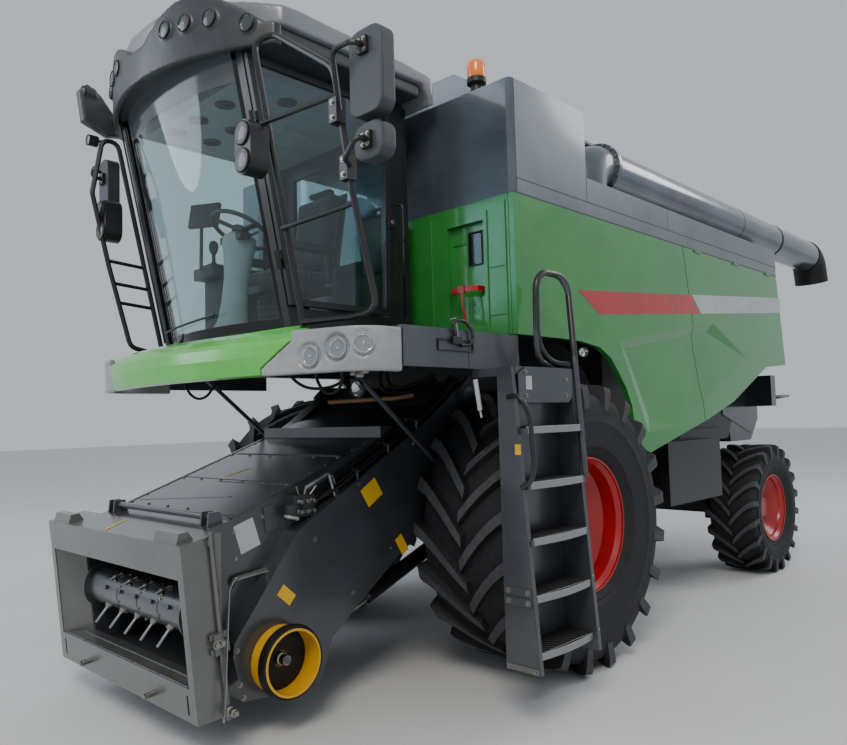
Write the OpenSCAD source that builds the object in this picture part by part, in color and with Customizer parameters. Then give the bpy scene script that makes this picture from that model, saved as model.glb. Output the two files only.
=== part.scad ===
// Combine harvester without its header, at full size in millimetres.
// The ground is z = 0, +x points forward and +y points to the machine's left.
// Places are worked out from the front axle's centre on the machine's middle plane.

/* [Place in the part's frame] */
// X of the front axle in the part's frame
front_axle_x = 1712; // [1500:1:1900]
// Y of the machine's middle plane, because the ladder stands out on one side only
middle_y = -132; // [-200:1:0]

/* [Wheels] */
// Radius of a front wheel under load, out to the lugs' tips
front_wheel_r = 900; // [860:5:930]
// Width of a front tyre
front_tyre_w = 770; // [700:10:800]
// Distance from the middle plane to the middle of a front tyre
front_track_y = 1200; // [1180:5:1240]
// Radius of the front rim's bead seat
front_rim_r = 430; // [400:5:450]
// Radius of a rear wheel under load, out to the lugs' tips
rear_wheel_r = 625; // [600:5:650]
// Width of a rear tyre
rear_tyre_w = 470; // [440:10:500]
// Distance from the middle plane to the middle of a rear tyre
rear_track_y = 1165; // [1150:5:1200]
// Radius of the rear rim's bead seat
rear_rim_r = 325; // [300:5:340]
// Distance between the axles
wheelbase = 3640; // [3600:10:3700]
// Height of the tyre lugs
lug_h = 48; // [35:1:55]
// Lugs on each half of a tyre's tread
lug_count = 20; // [16:1:22]
// Lean of the lugs from the wheel's axis
lug_lean = 46; // [40:1:52]
// Thickness of a wheel disc
disc_t = 14; // [10:1:20]

/* [Body] */
// Distance from the middle plane to the outer face of the side panels
body_half_w = 1471; // [1440:1:1500]
// Thickness of the side panels with their edges
panel_t = 40; // [25:1:60]
// X of the body's front face
body_front_x = 618; // [600:1:640]
// X of the side panels' rear edge at its top
body_rear_x = -3745; // [-3900:5:-3700]
// Height of the seam between the green panels and the grey tank
seam_z = 2939; // [2900:1:2980]
// Height of the grey ledge that carries the unloading auger
ledge_z = 3200; // [3150:5:3230]
// Height of the grain tank's walls
tank_z = 3650; // [3600:5:3700]
// Height of the closed lids over the tank's walls
lid_rise = 275; // [200:5:300]
// X of the rear face of the tank's full-width front block
tank_step_x = -205; // [-260:5:-150]
// Half-width of the walker housing between the wheels
hull_half_w = 700; // [660:5:740]

/* [Cab] */
// Height of the cab's floor
floor_z = 2100; // [2050:5:2150]
// Height of the roof's lower edge
roof_z = 3640; // [3600:5:3700]
// Half-width of the cab at its floor
cab_half_bottom = 730; // [690:5:740]
// Half-width of the cab at its roof
cab_half_top = 740; // [700:5:780]
// X of the cab's rear wall
cab_rear_x = 740; // [700:5:780]
// X of the front pillars at the floor
pillar_bottom_x = 1660; // [1620:5:1720]
// X of the front pillars at the roof
pillar_top_x = 1975; // [1900:5:2050]
// How far the windscreen bulges ahead of the pillars
screen_bulge = 145; // [120:5:220]
// Thickness of the glass
glass_t = 6; // [5:1:8]
// Half-width of the roof and the visor
roof_half_w = 930; // [880:5:980]
// X of the visor's foremost point
visor_x = 2250; // [2220:5:2300]
// Height of the roof's crown
crown_z = 3965; // [3900:5:4000]

/* [Platform] */
// Half-width of the platform on the ladder's side
platform_half_w = 1500; // [1450:5:1520]
// Half-width of the platform on the right, where no walkway runs beside the cab
platform_right_w = 1100; // [1050:5:1200]
// X of the bumper's foremost point
bumper_x = 2150; // [2100:5:2200]
// Radius of the bumper's curve seen from above
bumper_r = 3500; // [3000:50:4200]
// Height of the platform's walking surface
platform_z = 2070; // [2040:5:2090]
// Height of the platform's side panels
skirt_h = 205; // [160:5:240]
// Height of the bumper's lower edge
bumper_low_z = 1836; // [1800:1:1860]

/* [Feeder house] */
// X of the feeder house's pivot
feeder_pivot_x = 300; // [260:5:340]
// Height of the feeder house's pivot
feeder_pivot_z = 1750; // [1720:5:1780]
// Half-width of the feeder house's box
feeder_half_w = 640; // [600:5:680]
// Half-width of the header mounting frame
header_half_w = 826; // [800:1:850]
// X of the frame's front face at its foot
header_front_x = 2345; // [2300:5:2400]
// Forward lean of the frame's front face
header_lean = 5.8; // [0:0.1:8]
// Height of the frame's foot
header_foot_z = 192; // [150:1:250]
// Height of the frame's front face
header_h = 850; // [800:5:900]
// Radius of the pin holes of the lift cylinders
lift_pin_r = 22; // [18:1:30]

/* [Unloading auger] */
// Radius of the auger tube
auger_r = 175; // [150:5:190]
// X of the auger's swing axis
auger_x = -540; // [-600:5:-500]
// X of the auger tube's rear end
auger_end_x = -5450; // [-5700:10:-5300]

/* [Ladder] */
// Number of steps
step_count = 5; // [4:1:6]
// Distance from the middle plane to the ladder's outer edge at its head
ladder_y = 1760; // [1720:5:1800]
// Width of the ladder along the machine
ladder_w = 520; // [440:10:580]

/* [Hidden] */
// Gap at a seat where two pieces meet on a curved face
seat_gap = 0.3;
// The unloading auger lies on the ledge along the side panels.
auger_y = body_half_w - 236;
auger_z = ledge_z + 225;
// Angle by which the cab's sides lean outwards
side_lean = atan((cab_half_top - cab_half_bottom) / (roof_z - floor_z));
rear_axle_x = -wheelbase;

// Colours as the machine shows them
green = "#3f8f3a";
grey = "#5b6068";
dark = "#3a3d42";
black = "#17181a";
silver = "#9a9da1";
red = "#c8201e";

// Puts geometry that is measured from the front axle into the part's frame.
module at_row() translate([front_axle_x, middle_y, 0]) children();

// Draws its children on the left and mirrored on the right.
module both_sides() {
  children();
  mirror([0, 1, 0]) children();
}

// Mirrors its children to the right when side is -1.
module on_side(side) mirror([0, side < 0 ? 1 : 0, 0]) children();

// A side view outline in x and z, given a width from y0 to y1.
module side_plate(outline, y0, y1)
  translate([0, y1, 0]) rotate([90, 0, 0]) linear_extrude(y1 - y0) polygon(outline);

// A block between two opposite corners.
module block(low, high) translate(low) cube(high - low);

// A round bar between two points.
module rod_between(p, q, r) {
  d = q - p;
  translate(p) rotate([0, acos(d[2] / norm(d)), atan2(d[1], d[0])]) cylinder(h = norm(d), r = r, $fn = 24);
}

// A cylinder along y from y0 to y1 at x and z.
module cross_bar(x, z, r, y0, y1) translate([x, y1, z]) rotate([90, 0, 0]) cylinder(h = y1 - y0, r = r, $fn = 48);

function unit(v) = v / norm(v);

// Points of an arc that rounds the corner b between a and c.
function corner_arc(a, b, c, r, n) =
  let(u = unit(a - b), w = unit(c - b), half = acos(max(-1, min(1, u * w))) / 2,
      d = min(r / tan(half), 0.45 * norm(a - b), 0.45 * norm(c - b)), rr = d * tan(half),
      centre = b + unit(u + w) * (rr / sin(half)), e1 = unit(b + u * d - centre),
      e2 = unit(cross(cross(e1, b + w * d - centre), e1)))
  [for (i = [0:n]) centre + rr * (cos((180 - 2 * half) * i / n) * e1 + sin((180 - 2 * half) * i / n) * e2)];

// A path with its inner corners rounded.
function rounded_path(p, r, n = 3) =
  [p[0], for (i = [1:len(p) - 2]) each corner_arc(p[i - 1], p[i], p[i + 1], r, n), p[len(p) - 1]];

function tangents(p) = [for (i = [0:len(p) - 1]) unit(p[min(i + 1, len(p) - 1)] - p[max(i - 1, 0)])];

// Normals carried along the path without twist.
function normals(t, n, i = 0, done = []) =
  i == len(t) ? done : let(m = unit(n - (n * t[i]) * t[i])) normals(t, m, i + 1, concat(done, [m]));

// A bent tube swept along a rounded path.
module bent_tube(points, r, bend = 80, sides = 8) {
  p = len(points) > 2 ? rounded_path(points, bend) : points;
  t = tangents(p);
  n = normals(t, abs(t[0][1]) > 0.9 ? [1, 0, 0.01] : [0.01, 1, 0]);
  rings = len(p);
  polyhedron(
    points = [for (i = [0:rings - 1], k = [0:sides - 1])
      p[i] + r * (cos(360 * k / sides) * n[i] + sin(360 * k / sides) * cross(t[i], n[i]))],
    faces = concat(
      [[for (k = [0:sides - 1]) k]],
      [[for (k = [sides - 1:-1:0]) (rings - 1) * sides + k]],
      [for (i = [0:rings - 2], k = [0:sides - 1])
        [i * sides + k, (i + 1) * sides + k, (i + 1) * sides + (k + 1) % sides, i * sides + (k + 1) % sides]]));
}

// Section of a tyre, as radius and distance from its middle plane.
module tyre_section(r, w, rim_r) {
  tread = r - lug_h;
  half = [[rim_r + seat_gap, 0.40], [rim_r + 35, 0.43], [(r + rim_r) / 2 - 20, 0.5], [tread - 75, 0.5],
    [tread - 22, 0.47], [tread - 8, 0.36], [tread, 0.12]];
  polygon(concat([for (p = half) [p[0], p[1] * w]], [for (i = [len(half) - 1:-1:0]) [half[i][0], -half[i][1] * w]]));
}

// Envelope of the lugs, which wrap over the shoulders.
module lug_envelope(r, w) {
  half = [[r - 150, 0.502], [r - 95, 0.502], [r - 30, 0.478], [r, 0.425]];
  polygon(concat([for (p = half) [p[0], p[1] * w]], [for (i = [len(half) - 1:-1:0]) [half[i][0], -half[i][1] * w]]));
}

// A tyre about the y axis, with chevron lugs cut to its outer radius. The lugs' inner ends lead as it rolls.
module tyre(r, w, rim_r) {
  pitch = 360 / lug_count;
  lug_w = 0.036 * r + 26;
  lug_l = 0.66 * w;
  rotate([90, 0, 0]) {
    rotate_extrude($fn = 72) tyre_section(r, w, rim_r);
    intersection() {
      rotate_extrude($fn = 96) lug_envelope(r, w);
      for (side = [-1, 1], i = [0:lug_count - 1])
        rotate((i + (side > 0 ? 0.5 : 0)) * pitch)
          translate([r - lug_h / 2 - 14, 0, side * w * 0.255])
            rotate([-side * lug_lean, 0, 0]) cube([lug_h + 40, lug_w, lug_l], center = true);
    }
  }
}

// Section of a dished rim, as radius and distance outwards from the tyre's middle plane.
module rim_section(rim_r, w, dish, hub_r) {
  edge = 0.40 * w - 4;
  polygon([[hub_r, dish - disc_t], [rim_r * 0.60, dish - disc_t], [rim_r - 62, dish + 70],
    [rim_r - 50, -edge + 30], [rim_r - 12, -edge], [rim_r - 12, -edge - 14], [rim_r, -edge - 14], [rim_r, edge + 14],
    [rim_r - 12, edge + 14], [rim_r - 12, edge], [rim_r - 34, edge - 30], [rim_r - 40, dish + 95],
    [rim_r * 0.64, dish], [hub_r, dish]]);
}

// A wheel disc and rim about the y axis, outer side towards +y, with bolts on a ring.
module rim(rim_r, w, dish, hub_r, bolts) {
  rotate([-90, 0, 0]) {
    difference() {
      rotate_extrude($fn = 72) rim_section(rim_r, w, dish, hub_r * 0.35);
      for (i = [0:7]) rotate(i * 45 + 22) translate([rim_r * 0.53, 0, dish - 60]) cylinder(h = 120, r = 26, $fn = 24);
    }
    for (i = [0:bolts - 1]) rotate(i * 360 / bolts) translate([hub_r * 0.8, 0, dish - 1])
      cylinder(h = 24, r = 17, $fn = 6);
    translate([0, 0, dish]) cylinder(h = 60, r = hub_r * 0.55, $fn = 48);
  }
}

front_dish = 85;
rear_dish = 40;
front_hub_r = 250;
rear_hub_r = 170;

module front_wheel_place(side) at_row() on_side(side) translate([0, front_track_y, front_wheel_r]) children();
module rear_wheel_place(side) at_row() on_side(side) translate([rear_axle_x, rear_track_y, rear_wheel_r]) children();

module tyre_front_left() color(black) front_wheel_place(1) tyre(front_wheel_r, front_tyre_w, front_rim_r);
module tyre_front_right() color(black) front_wheel_place(-1) tyre(front_wheel_r, front_tyre_w, front_rim_r);
module tyre_rear_left() color(black) rear_wheel_place(1) tyre(rear_wheel_r, rear_tyre_w, rear_rim_r);
module tyre_rear_right() color(black) rear_wheel_place(-1) tyre(rear_wheel_r, rear_tyre_w, rear_rim_r);
module rim_front_left() color(red) front_wheel_place(1) rim(front_rim_r, front_tyre_w, front_dish, front_hub_r, 12);
module rim_front_right() color(red) front_wheel_place(-1) rim(front_rim_r, front_tyre_w, front_dish, front_hub_r, 12);
module rim_rear_left() color(red) rear_wheel_place(1) rim(rear_rim_r, rear_tyre_w, rear_dish, rear_hub_r, 10);
module rim_rear_right() color(red) rear_wheel_place(-1) rim(rear_rim_r, rear_tyre_w, rear_dish, rear_hub_r, 10);

// Front axle and the lift cylinders' places
lift_y = 500;
lift_base_x = 200;
lift_base_z = front_wheel_r - 100;
lift_end_x = 1450;
lift_end_z = 330;
axle_beam = 150;
final_drive_r = 255;

module front_axle() color(dark) at_row() {
  block([-130, -900, front_wheel_r - axle_beam], [130, 900, front_wheel_r + axle_beam]);
  both_sides() {
    cross_bar(0, front_wheel_r, final_drive_r, 880, front_track_y + front_dish - disc_t - 40);
    cross_bar(0, front_wheel_r, 150, front_track_y + front_dish - disc_t - 60,
      front_track_y + front_dish - disc_t - seat_gap);
    for (y = [lift_y - 85, lift_y + 55])
      side_plate([[120, lift_base_z - 90], [260, lift_base_z - 60], [260, lift_base_z + 40],
        [120, lift_base_z + 90]], y, y + 30);
    cross_bar(lift_base_x, lift_base_z, lift_pin_r, lift_y - 85, lift_y + 85);
  }
}

// Rear axle with its beam, pivot bracket and steering cylinder
knuckle_y = 800;
knuckle_r = 55;

module rear_axle() color(dark) at_row() translate([rear_axle_x, 0, 0]) {
  block([-90, -720, rear_wheel_r - 80], [90, 720, rear_wheel_r + 90]);
  both_sides() difference() {
    union() {
      block([-80, 715, rear_wheel_r + 100], [80, knuckle_y + 70, rear_wheel_r + 140]);
      block([-80, 715, rear_wheel_r - 140], [80, knuckle_y + 70, rear_wheel_r - 100]);
      block([-80, 690, rear_wheel_r - 140], [80, 730, rear_wheel_r + 140]);
    }
    translate([0, knuckle_y, 0]) cylinder(h = 2000, r = 30, $fn = 32);
  }
  side_plate([[-200, 1180], [-110, rear_wheel_r + 90], [110, rear_wheel_r + 90], [200, 1180]], -300, 300);
  cross_bar(-150, rear_wheel_r, 40, -350, 350);
  both_sides() cross_bar(-150, rear_wheel_r, 20, 340, 640);
  block([-120, -60, rear_wheel_r - 30], [-80, 60, rear_wheel_r + 30]);
  // Tow hitch plate
  difference() {
    block([-320, -60, rear_wheel_r - 80], [-85, 60, rear_wheel_r - 50]);
    translate([-275, 0, rear_wheel_r - 81]) cylinder(h = 32, r = hitch_r, $fn = 32);
  }
}
hitch_r = 17;

// A steering knuckle with its kingpin and stub axle
module knuckle(side) at_row() on_side(side) translate([rear_axle_x, knuckle_y, rear_wheel_r]) {
  cylinder(h = 190, r = 70, center = true, $fn = 40);
  cylinder(h = 290, r = 29.9, center = true, $fn = 32);
  cross_bar(0, 0, 65, 40, rear_track_y + rear_dish - disc_t - knuckle_y - 40);
  cross_bar(0, 0, rear_hub_r * 0.8, rear_track_y + rear_dish - disc_t - knuckle_y - 50,
    rear_track_y + rear_dish - disc_t - knuckle_y - seat_gap);
}
module knuckle_left() color(dark) knuckle(1);
module knuckle_right() color(dark) knuckle(-1);

// Walker housing between the side panels, closed all round
hull_outline = [[body_front_x - 98, seam_z], [body_front_x - 98, 2055], [70, 2055], [70, 1130], [-250, 1080],
  [-560, 960], [-700, 760], [-2450, 760], [-2760, 1300], [-4250, 1300], [-4420, 1600], [-4420, 2500],
  [-3900, seam_z]];

module body_hull() color(black) at_row() {
  difference() {
    side_plate(hull_outline, -hull_half_w, hull_half_w);
    block(engine_low - [engine_room, engine_room, 0], [engine_high[0] + engine_room, engine_high[1] + engine_room,
      seam_z + 1]);
  }
  // Pulleys of the side drives, as x, z, radius and width
  pulleys = [[-330, 1880, 95, 60], [-560, 1430, 210, 70], [-1150, 1650, 260, 60], [-2100, 1550, 170, 60],
    [-2500, 2150, 120, 60]];
  both_sides() for (p = pulleys) {
    cross_bar(p[0], p[1], p[2], hull_half_w + 25, hull_half_w + 25 + p[3]);
    cross_bar(p[0], p[1], 35, hull_half_w - 5, hull_half_w + 100);
  }
  both_sides() side_plate([[body_front_x - 110, seam_z], [body_front_x - 110, 2200], [250, 2120], [-300, 2090],
    [-560, 1900], [-740, 1650], [-760, seam_z]], 1180, 1210);
  both_sides() block([-760, hull_half_w - 5, 2780], [body_front_x - 110, 1181, seam_z]);
}

// Main frame beside the walker housing, with the feeder house's bearing plates
bearing_y = 771;

module chassis() color(dark) at_row() {
  both_sides() {
    side_plate([[300, 1210], [300, 1050], [-130, 1050], [-600, 900], [-2880, 900], [-3080, 1300], [-4000, 1300],
      [-4000, 1420], [-2900, 1420], [-2700, 1020], [-600, 1020], [-200, 1210]], hull_half_w, hull_half_w + 80);
    block([-2500, hull_half_w + 80, 850], [-1500, 1330, 1360]);
    difference() {
      union() {
        side_plate([[-60, 1640], [-60, 1880], [300, 1880], [390, 1800], [390, 1700], [300, 1640]],
          bearing_y, bearing_y + 30);
        block([-60, hull_half_w, 1640], [40, bearing_y + 30, 1880]);
      }
      cross_bar(feeder_pivot_x, feeder_pivot_z, trunnion_r + 0.05, bearing_y - 1, bearing_y + 31);
    }
  }
  block([-4000, -480, 1180], [-3300, 480, 1300]);
  block([-3400, -hull_half_w - 1, 1270], [-3300, hull_half_w + 1, 1300]);
}
trunnion_r = 60;

// The engine is one plain block between these corners, with room round it.
engine_low = [-3600, -480, 2600];
engine_high = [-2520, 480, 3370];
engine_room = 20;

module engine() color(dark) at_row() block(engine_low, engine_high);

// Grain tank: the front block over the full width, the ledges and the inner walls
module tank_front_plan() {
  polygon([[tank_step_x, body_half_w], [body_front_x - 35, body_half_w], [body_front_x - 8, body_half_w - 10],
    [body_front_x, body_half_w - 35], [body_front_x, -body_half_w + 35], [body_front_x - 8, -body_half_w + 10],
    [body_front_x - 35, -body_half_w], [tank_step_x, -body_half_w]]);
}

module grain_tank() color(grey) at_row() {
  difference() {
    translate([0, 0, seam_z]) linear_extrude(tank_z - seam_z) tank_front_plan();
    block([tank_step_x + 40, -lid_half_w + 90, seam_z + 60], [body_front_x - 40, lid_half_w - 90, tank_z + 1]);
    block([tank_step_x + 40, -body_half_w + 40, seam_z + 60], [body_front_x - 40, body_half_w - 40, tank_z - 40]);
  }
  both_sides() block([body_rear_x, body_half_w - 40, seam_z], [tank_step_x, body_half_w, ledge_z]);
  both_sides() block([body_rear_x, tank_inner_y, ledge_z - 20], [tank_step_x, body_half_w - 40, ledge_z]);
  both_sides() block([tank_rear_x + 40, tank_inner_y - 40, seam_z], [tank_step_x, tank_inner_y, tank_z]);
  block([tank_rear_x, -tank_inner_y, seam_z], [tank_rear_x + 40, tank_inner_y, tank_z]);
  // Flat cover behind the lids
  block([tank_rear_x, -tank_inner_y, tank_z], [tank_step_x + 1, tank_inner_y, tank_z + 25]);
}
lid_z = tank_z + lid_rise;
// The walls over the ledges stand in from the sides by the ledge's width.
tank_inner_y = body_half_w - 456;
lid_half_w = 1190;
tank_rear_x = -2340;

// Two lids over the front of the tank, each a low shell with one sloping side that opens outwards
lid_outline = [[5, tank_z + 1], [5, lid_z], [900, lid_z - 20], [lid_half_w, tank_z + 60], [lid_half_w, tank_z + 1]];
lid_hollow = [[17, tank_z], [17, lid_z - 12], [893, lid_z - 32], [lid_half_w - 12, tank_z + 54],
  [lid_half_w - 12, tank_z]];

module tank_lid(side) on_side(side) {
  difference() {
    side_profile_x(tank_step_x + 10, body_front_x - 150, lid_outline);
    side_profile_x(tank_step_x + 22, body_front_x - 162, lid_hollow);
  }
  for (x = [tank_step_x + 40, body_front_x - 300]) translate([x, lid_half_w + 10, tank_z + door_hinge_r + seat_gap])
    rotate([0, 90, 0]) cylinder(h = 120, r = door_hinge_r, $fn = 32);
  for (x = [tank_step_x + 40, body_front_x - 300])
    block([x, lid_half_w - 1, tank_z + 9], [x + 120, lid_half_w + 10, tank_z + 18]);
}
module tank_lid_left() color(grey) at_row() tank_lid(1);
module tank_lid_right() color(grey) at_row() tank_lid(-1);

// Green front face beside the cab, with the recess and the dark window on the left
module body_front() color(green) at_row() difference() {
  block([body_front_x - 58, -body_half_w + panel_t + 5, platform_z + 20],
    [body_front_x, body_half_w - panel_t - 5, seam_z]);
  block([body_front_x - 38, 930, platform_z + 60], [body_front_x + 1, 1230, seam_z - 120]);
  block([body_front_x - 59, 1080, 2560], [body_front_x, 1190, 2760]);
}

// Outline of a side panel's front half, in x and z from the body's front
arch_points = [[body_front_x, 2085], [180, 2085], [-60, 2080], [-293, 2050], [-430, 1985], [-530, 1884],
  [-630, 1770], [-698, 1644], [-725, 1500], [-770, 1400], [-868, 1330]];
panel_split_top = -1633;
panel_split_foot = -1905;
panel_foot_rear = [-3343, 2009];

function front_panel_outline(gap) = concat([[body_front_x, seam_z - seat_gap]], arch_points,
  [[-940, 1310], [panel_split_foot + gap, 1520], [panel_split_top + gap, seam_z - seat_gap]]);
function rear_panel_outline(gap) = [[panel_split_top - gap, seam_z - seat_gap], [panel_split_foot - gap, 1520],
  [-2513, 1679], panel_foot_rear, [-3882, 2048], [body_rear_x, seam_z - seat_gap]];

module side_panel_left() color(green) at_row()
  side_plate(front_panel_outline(5), body_half_w - panel_t, body_half_w);

// Outer barrels of a lifting panel's hinges, at their places along x
door_hinge_r = 9;
door_hinge_y = body_half_w + 5;
door_hinge_z = seam_z - door_hinge_r - seat_gap;
module hinge_barrels(places) for (x = places) translate([x - 60, door_hinge_y, door_hinge_z]) rotate([0, 90, 0])
  cylinder(h = 120, r = door_hinge_r, $fn = 32);

module side_door_right_front() color(green) at_row() on_side(-1) {
  side_plate(front_panel_outline(5), body_half_w - panel_t, body_half_w);
  hinge_barrels([350, -500, -1400]);
}
module rear_panel() {
  side_plate(rear_panel_outline(5), body_half_w - panel_t, body_half_w);
  hinge_barrels([-1900, -2700, -3500]);
}
module side_door_left() color(green) at_row() rear_panel();
module side_door_right() color(green) at_row() on_side(-1) rear_panel();

// Straw hood behind the walkers with the spreader's covers
module rear_hood() color(dark) at_row() {
  difference() {
    side_plate([[-4420 - seat_gap, 2490], [-4420 - seat_gap, 1600], [-4290 - seat_gap, 1370], [-4310, 1250],
      [-4900, 1250], [-5150, 1500], [-5150, 2050], [-4800, 2450]], -hull_half_w, hull_half_w);
    side_plate([[-4440, 1230], [-4440, 2440], [-4790, 2400], [-5110, 2030], [-5110, 1510], [-4880, 1230]],
      -hull_half_w + 41, hull_half_w - 41);
  }
  both_sides() side_plate([[-4100, 2020], [-4100, 1560], [-4900, 1330], [-4950, 1900], [-4425, 2020]],
    hull_half_w, hull_half_w + 12);
  // Rail behind the hood and the lamp boxes beside it
  both_sides() {
    bent_tube([[-5100, 560, 1700], [-5420, 560, 1740], [-5420, 1000, 1760], [-5060, 1000, 1740], [-4900, 720, 1700]],
      tube_r, 90);
    block([-4900, 705, 1640], [-4760, 1010, 1990]);
  }
}

// Deck over the engine
module engine_deck() color(dark) at_row() {
  difference() {
    union() {
      block([-3700, -tank_inner_y + 35, seam_z], [tank_rear_x, tank_inner_y - 35, ledge_z]);
      block([-3680, -700, ledge_z - 10], [-2440, 700, ledge_z + 220]);
    }
    block([engine_low[0] - engine_room, engine_low[1] - engine_room, seam_z - 1],
      engine_high + [engine_room, engine_room, engine_room]);
    // Shallow louvres in the hood's sides
    for (i = [0:7]) both_sides() block([-3600, 690, ledge_z + 35 + i * 21], [-2540, 701, ledge_z + 45 + i * 21]);
  }
}

// Cab pieces
// A slab with the windscreen's curve in front: half is its half-width, tip its foremost x, r the curve's radius.
module nose_slab(rear, half, tip, r, z0, z1) intersection() {
  translate([tip - r, 0, z0]) cylinder(h = z1 - z0, r = r, $fn = 144);
  block([rear, -half, z0 - 1], [tip + 1, half, z1 + 1]);
}

module cab_floor() color(dark) at_row()
  nose_slab(cab_rear_x, cab_half_bottom, screen_foot_x, screen_r, platform_z, floor_z);

module pillar(x0, x1, y0, y1, size) hull() {
  translate([x0, y0, floor_z + 1]) cube([size, 60, 2], center = true);
  translate([x1, y1, roof_z - 1]) cube([size, 60, 2], center = true);
}

module cab_frame() color(black) at_row() {
  both_sides() pillar(pillar_bottom_x, pillar_top_x, cab_half_bottom - 40, cab_half_top - 40, 70);
  both_sides() pillar(890, 870, cab_half_bottom - 40, cab_half_top - 40, 130);
  // Sill under the door and the right window
  both_sides() block([cab_rear_x, cab_half_bottom - 40, floor_z],
    [pillar_bottom_x, cab_half_bottom - 11, sill_z - 10]);
  difference() {
    block([cab_rear_x, -cab_half_bottom + 30, floor_z], [cab_rear_x + 40, cab_half_bottom - 30, roof_z]);
    block([cab_rear_x - 1, -500, 2700], [cab_rear_x + 41, 500, 3450]);
  }
  // Fixed halves of the door's hinges
  door_plane() for (s = hinge_places) hinge_half(s);
}

// The door's hinge line runs parallel to the front pillar, just ahead of the door.
sill_z = floor_z + 150;
door_head_z = roof_z - 54;
hinge_y = 14;
hinge_lean = atan((pillar_top_x - pillar_bottom_x) / (roof_z - floor_z));
hinge_places = [350, 1100];
function pillar_front(z) = pillar_bottom_x + (z - floor_z) * tan(hinge_lean);

module hinge_half(s) translate([pillar_front(floor_z) + 62, hinge_y, floor_z]) rotate([0, hinge_lean, 0])
  translate([0, 0, s]) {
    cylinder(h = 50, r = 18, $fn = 32);
    translate([-30, -hinge_y - 10, 0]) cube([30, 24, 50]);
  }

// Windscreen cut from a leaning drum
screen_r = (pow(cab_half_top, 2) + pow(screen_bulge, 2)) / (2 * screen_bulge);
function screen_sag(half) = screen_r - sqrt(pow(screen_r, 2) - pow(half, 2));
screen_foot_x = pillar_bottom_x + screen_sag(cab_half_bottom);
screen_head_x = pillar_top_x + screen_bulge;
screen_lean = atan((screen_head_x - screen_foot_x) / (roof_z - floor_z));
pillar_inset = 70 + seat_gap;

module cab_glass() color("#a8c0c8", 0.4) at_row() {
  intersection() {
    translate([screen_foot_x - screen_r / cos(screen_lean), 0, floor_z]) rotate([0, screen_lean, 0]) difference() {
      translate([0, 0, -600]) cylinder(h = 2800, r = screen_r, $fn = 96);
      translate([0, 0, -601]) cylinder(h = 2802, r = screen_r - glass_t, $fn = 96);
    }
    translate([2600, 0, 0]) rotate([90, 0, -90]) linear_extrude(1300)
      polygon([[-cab_half_bottom + pillar_inset, floor_z], [cab_half_bottom - pillar_inset, floor_z],
        [cab_half_top - pillar_inset, roof_z], [-cab_half_top + pillar_inset, roof_z]]);
  }
  block([cab_rear_x + 15, -500, 2700], [cab_rear_x + 21, 500, 3450]);
  // The right window is bonded to the outside of its pillars
  mirror([0, 1, 0]) side_plane() side_plate(window_outline, -9.6, -3.6);
}

// The plane of the door and the right window, which leans outwards with the pillars
module side_plane() translate([0, cab_half_bottom, floor_z]) rotate([-side_lean, 0, 0])
  translate([0, 0, -floor_z]) children();
module door_plane() side_plane() children();

function door_edge(z, inset) = pillar_front(z) + 30 - inset;
door_outline = [[965, sill_z], [door_edge(sill_z, 0), sill_z], [door_edge(door_head_z, 0), door_head_z],
  [945, door_head_z]];
window_outline = [[900, sill_z - 30], [door_edge(sill_z, 0), sill_z - 30], [door_edge(door_head_z, 0), door_head_z],
  [880, door_head_z]];
door_inner = [[1005, sill_z + 35], [door_edge(sill_z, 40), sill_z + 35],
  [door_edge(door_head_z, 40), door_head_z - 35], [985, door_head_z - 35]];

module door_frame() color(black) at_row() door_plane() {
  difference() {
    side_plate(door_outline, -4, 26);
    side_plate(door_inner, -5, 27);
  }
  // Moving halves of the hinges, above the fixed halves
  for (s = hinge_places) translate([pillar_front(floor_z) + 62, hinge_y, floor_z]) rotate([0, hinge_lean, 0])
    translate([0, 0, s + 50 + seat_gap]) {
      cylinder(h = 50, r = 18, $fn = 32);
      translate([-50, -hinge_y + 2, 0]) cube([50, 20, 50]);
    }
}
module door_glass() color("#a8c0c8", 0.4) at_row() door_plane() side_plate(door_inner, 8, 14);

// Roof shell: an upright wall closed by a crown that is curved both along and across the cab
visor_r = 1488;
crown_x = 1750;
crown_across_r = 3460;
crown_along_r = 12000;
// The dark frame under the shell fills the height up to here.
shell_z = roof_z + 80;
roof_rear_x = cab_rear_x - 30;
shell_tail = [[roof_rear_x, roof_z - 40], [cab_rear_x - 6, roof_z - 40], [cab_rear_x - 6, roof_z + 3],
  [cab_rear_x + 66, shell_z + 5], [cab_rear_x + 66, shell_z + 20], [roof_rear_x, shell_z + 20]];

module roof() color("#c9ccce") at_row() intersection() {
  union() {
    nose_slab(roof_rear_x, roof_half_w, visor_x - 42, visor_r - 42, shell_z + seat_gap, crown_z + 50);
    side_plate(shell_tail, -roof_half_w, roof_half_w);
  }
  translate([crown_x, 0, crown_z - crown_along_r]) rotate([90, 0, 0]) rotate_extrude($fn = 180)
    translate([crown_along_r - crown_across_r, 0]) circle(crown_across_r, $fn = 120);
}

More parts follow.
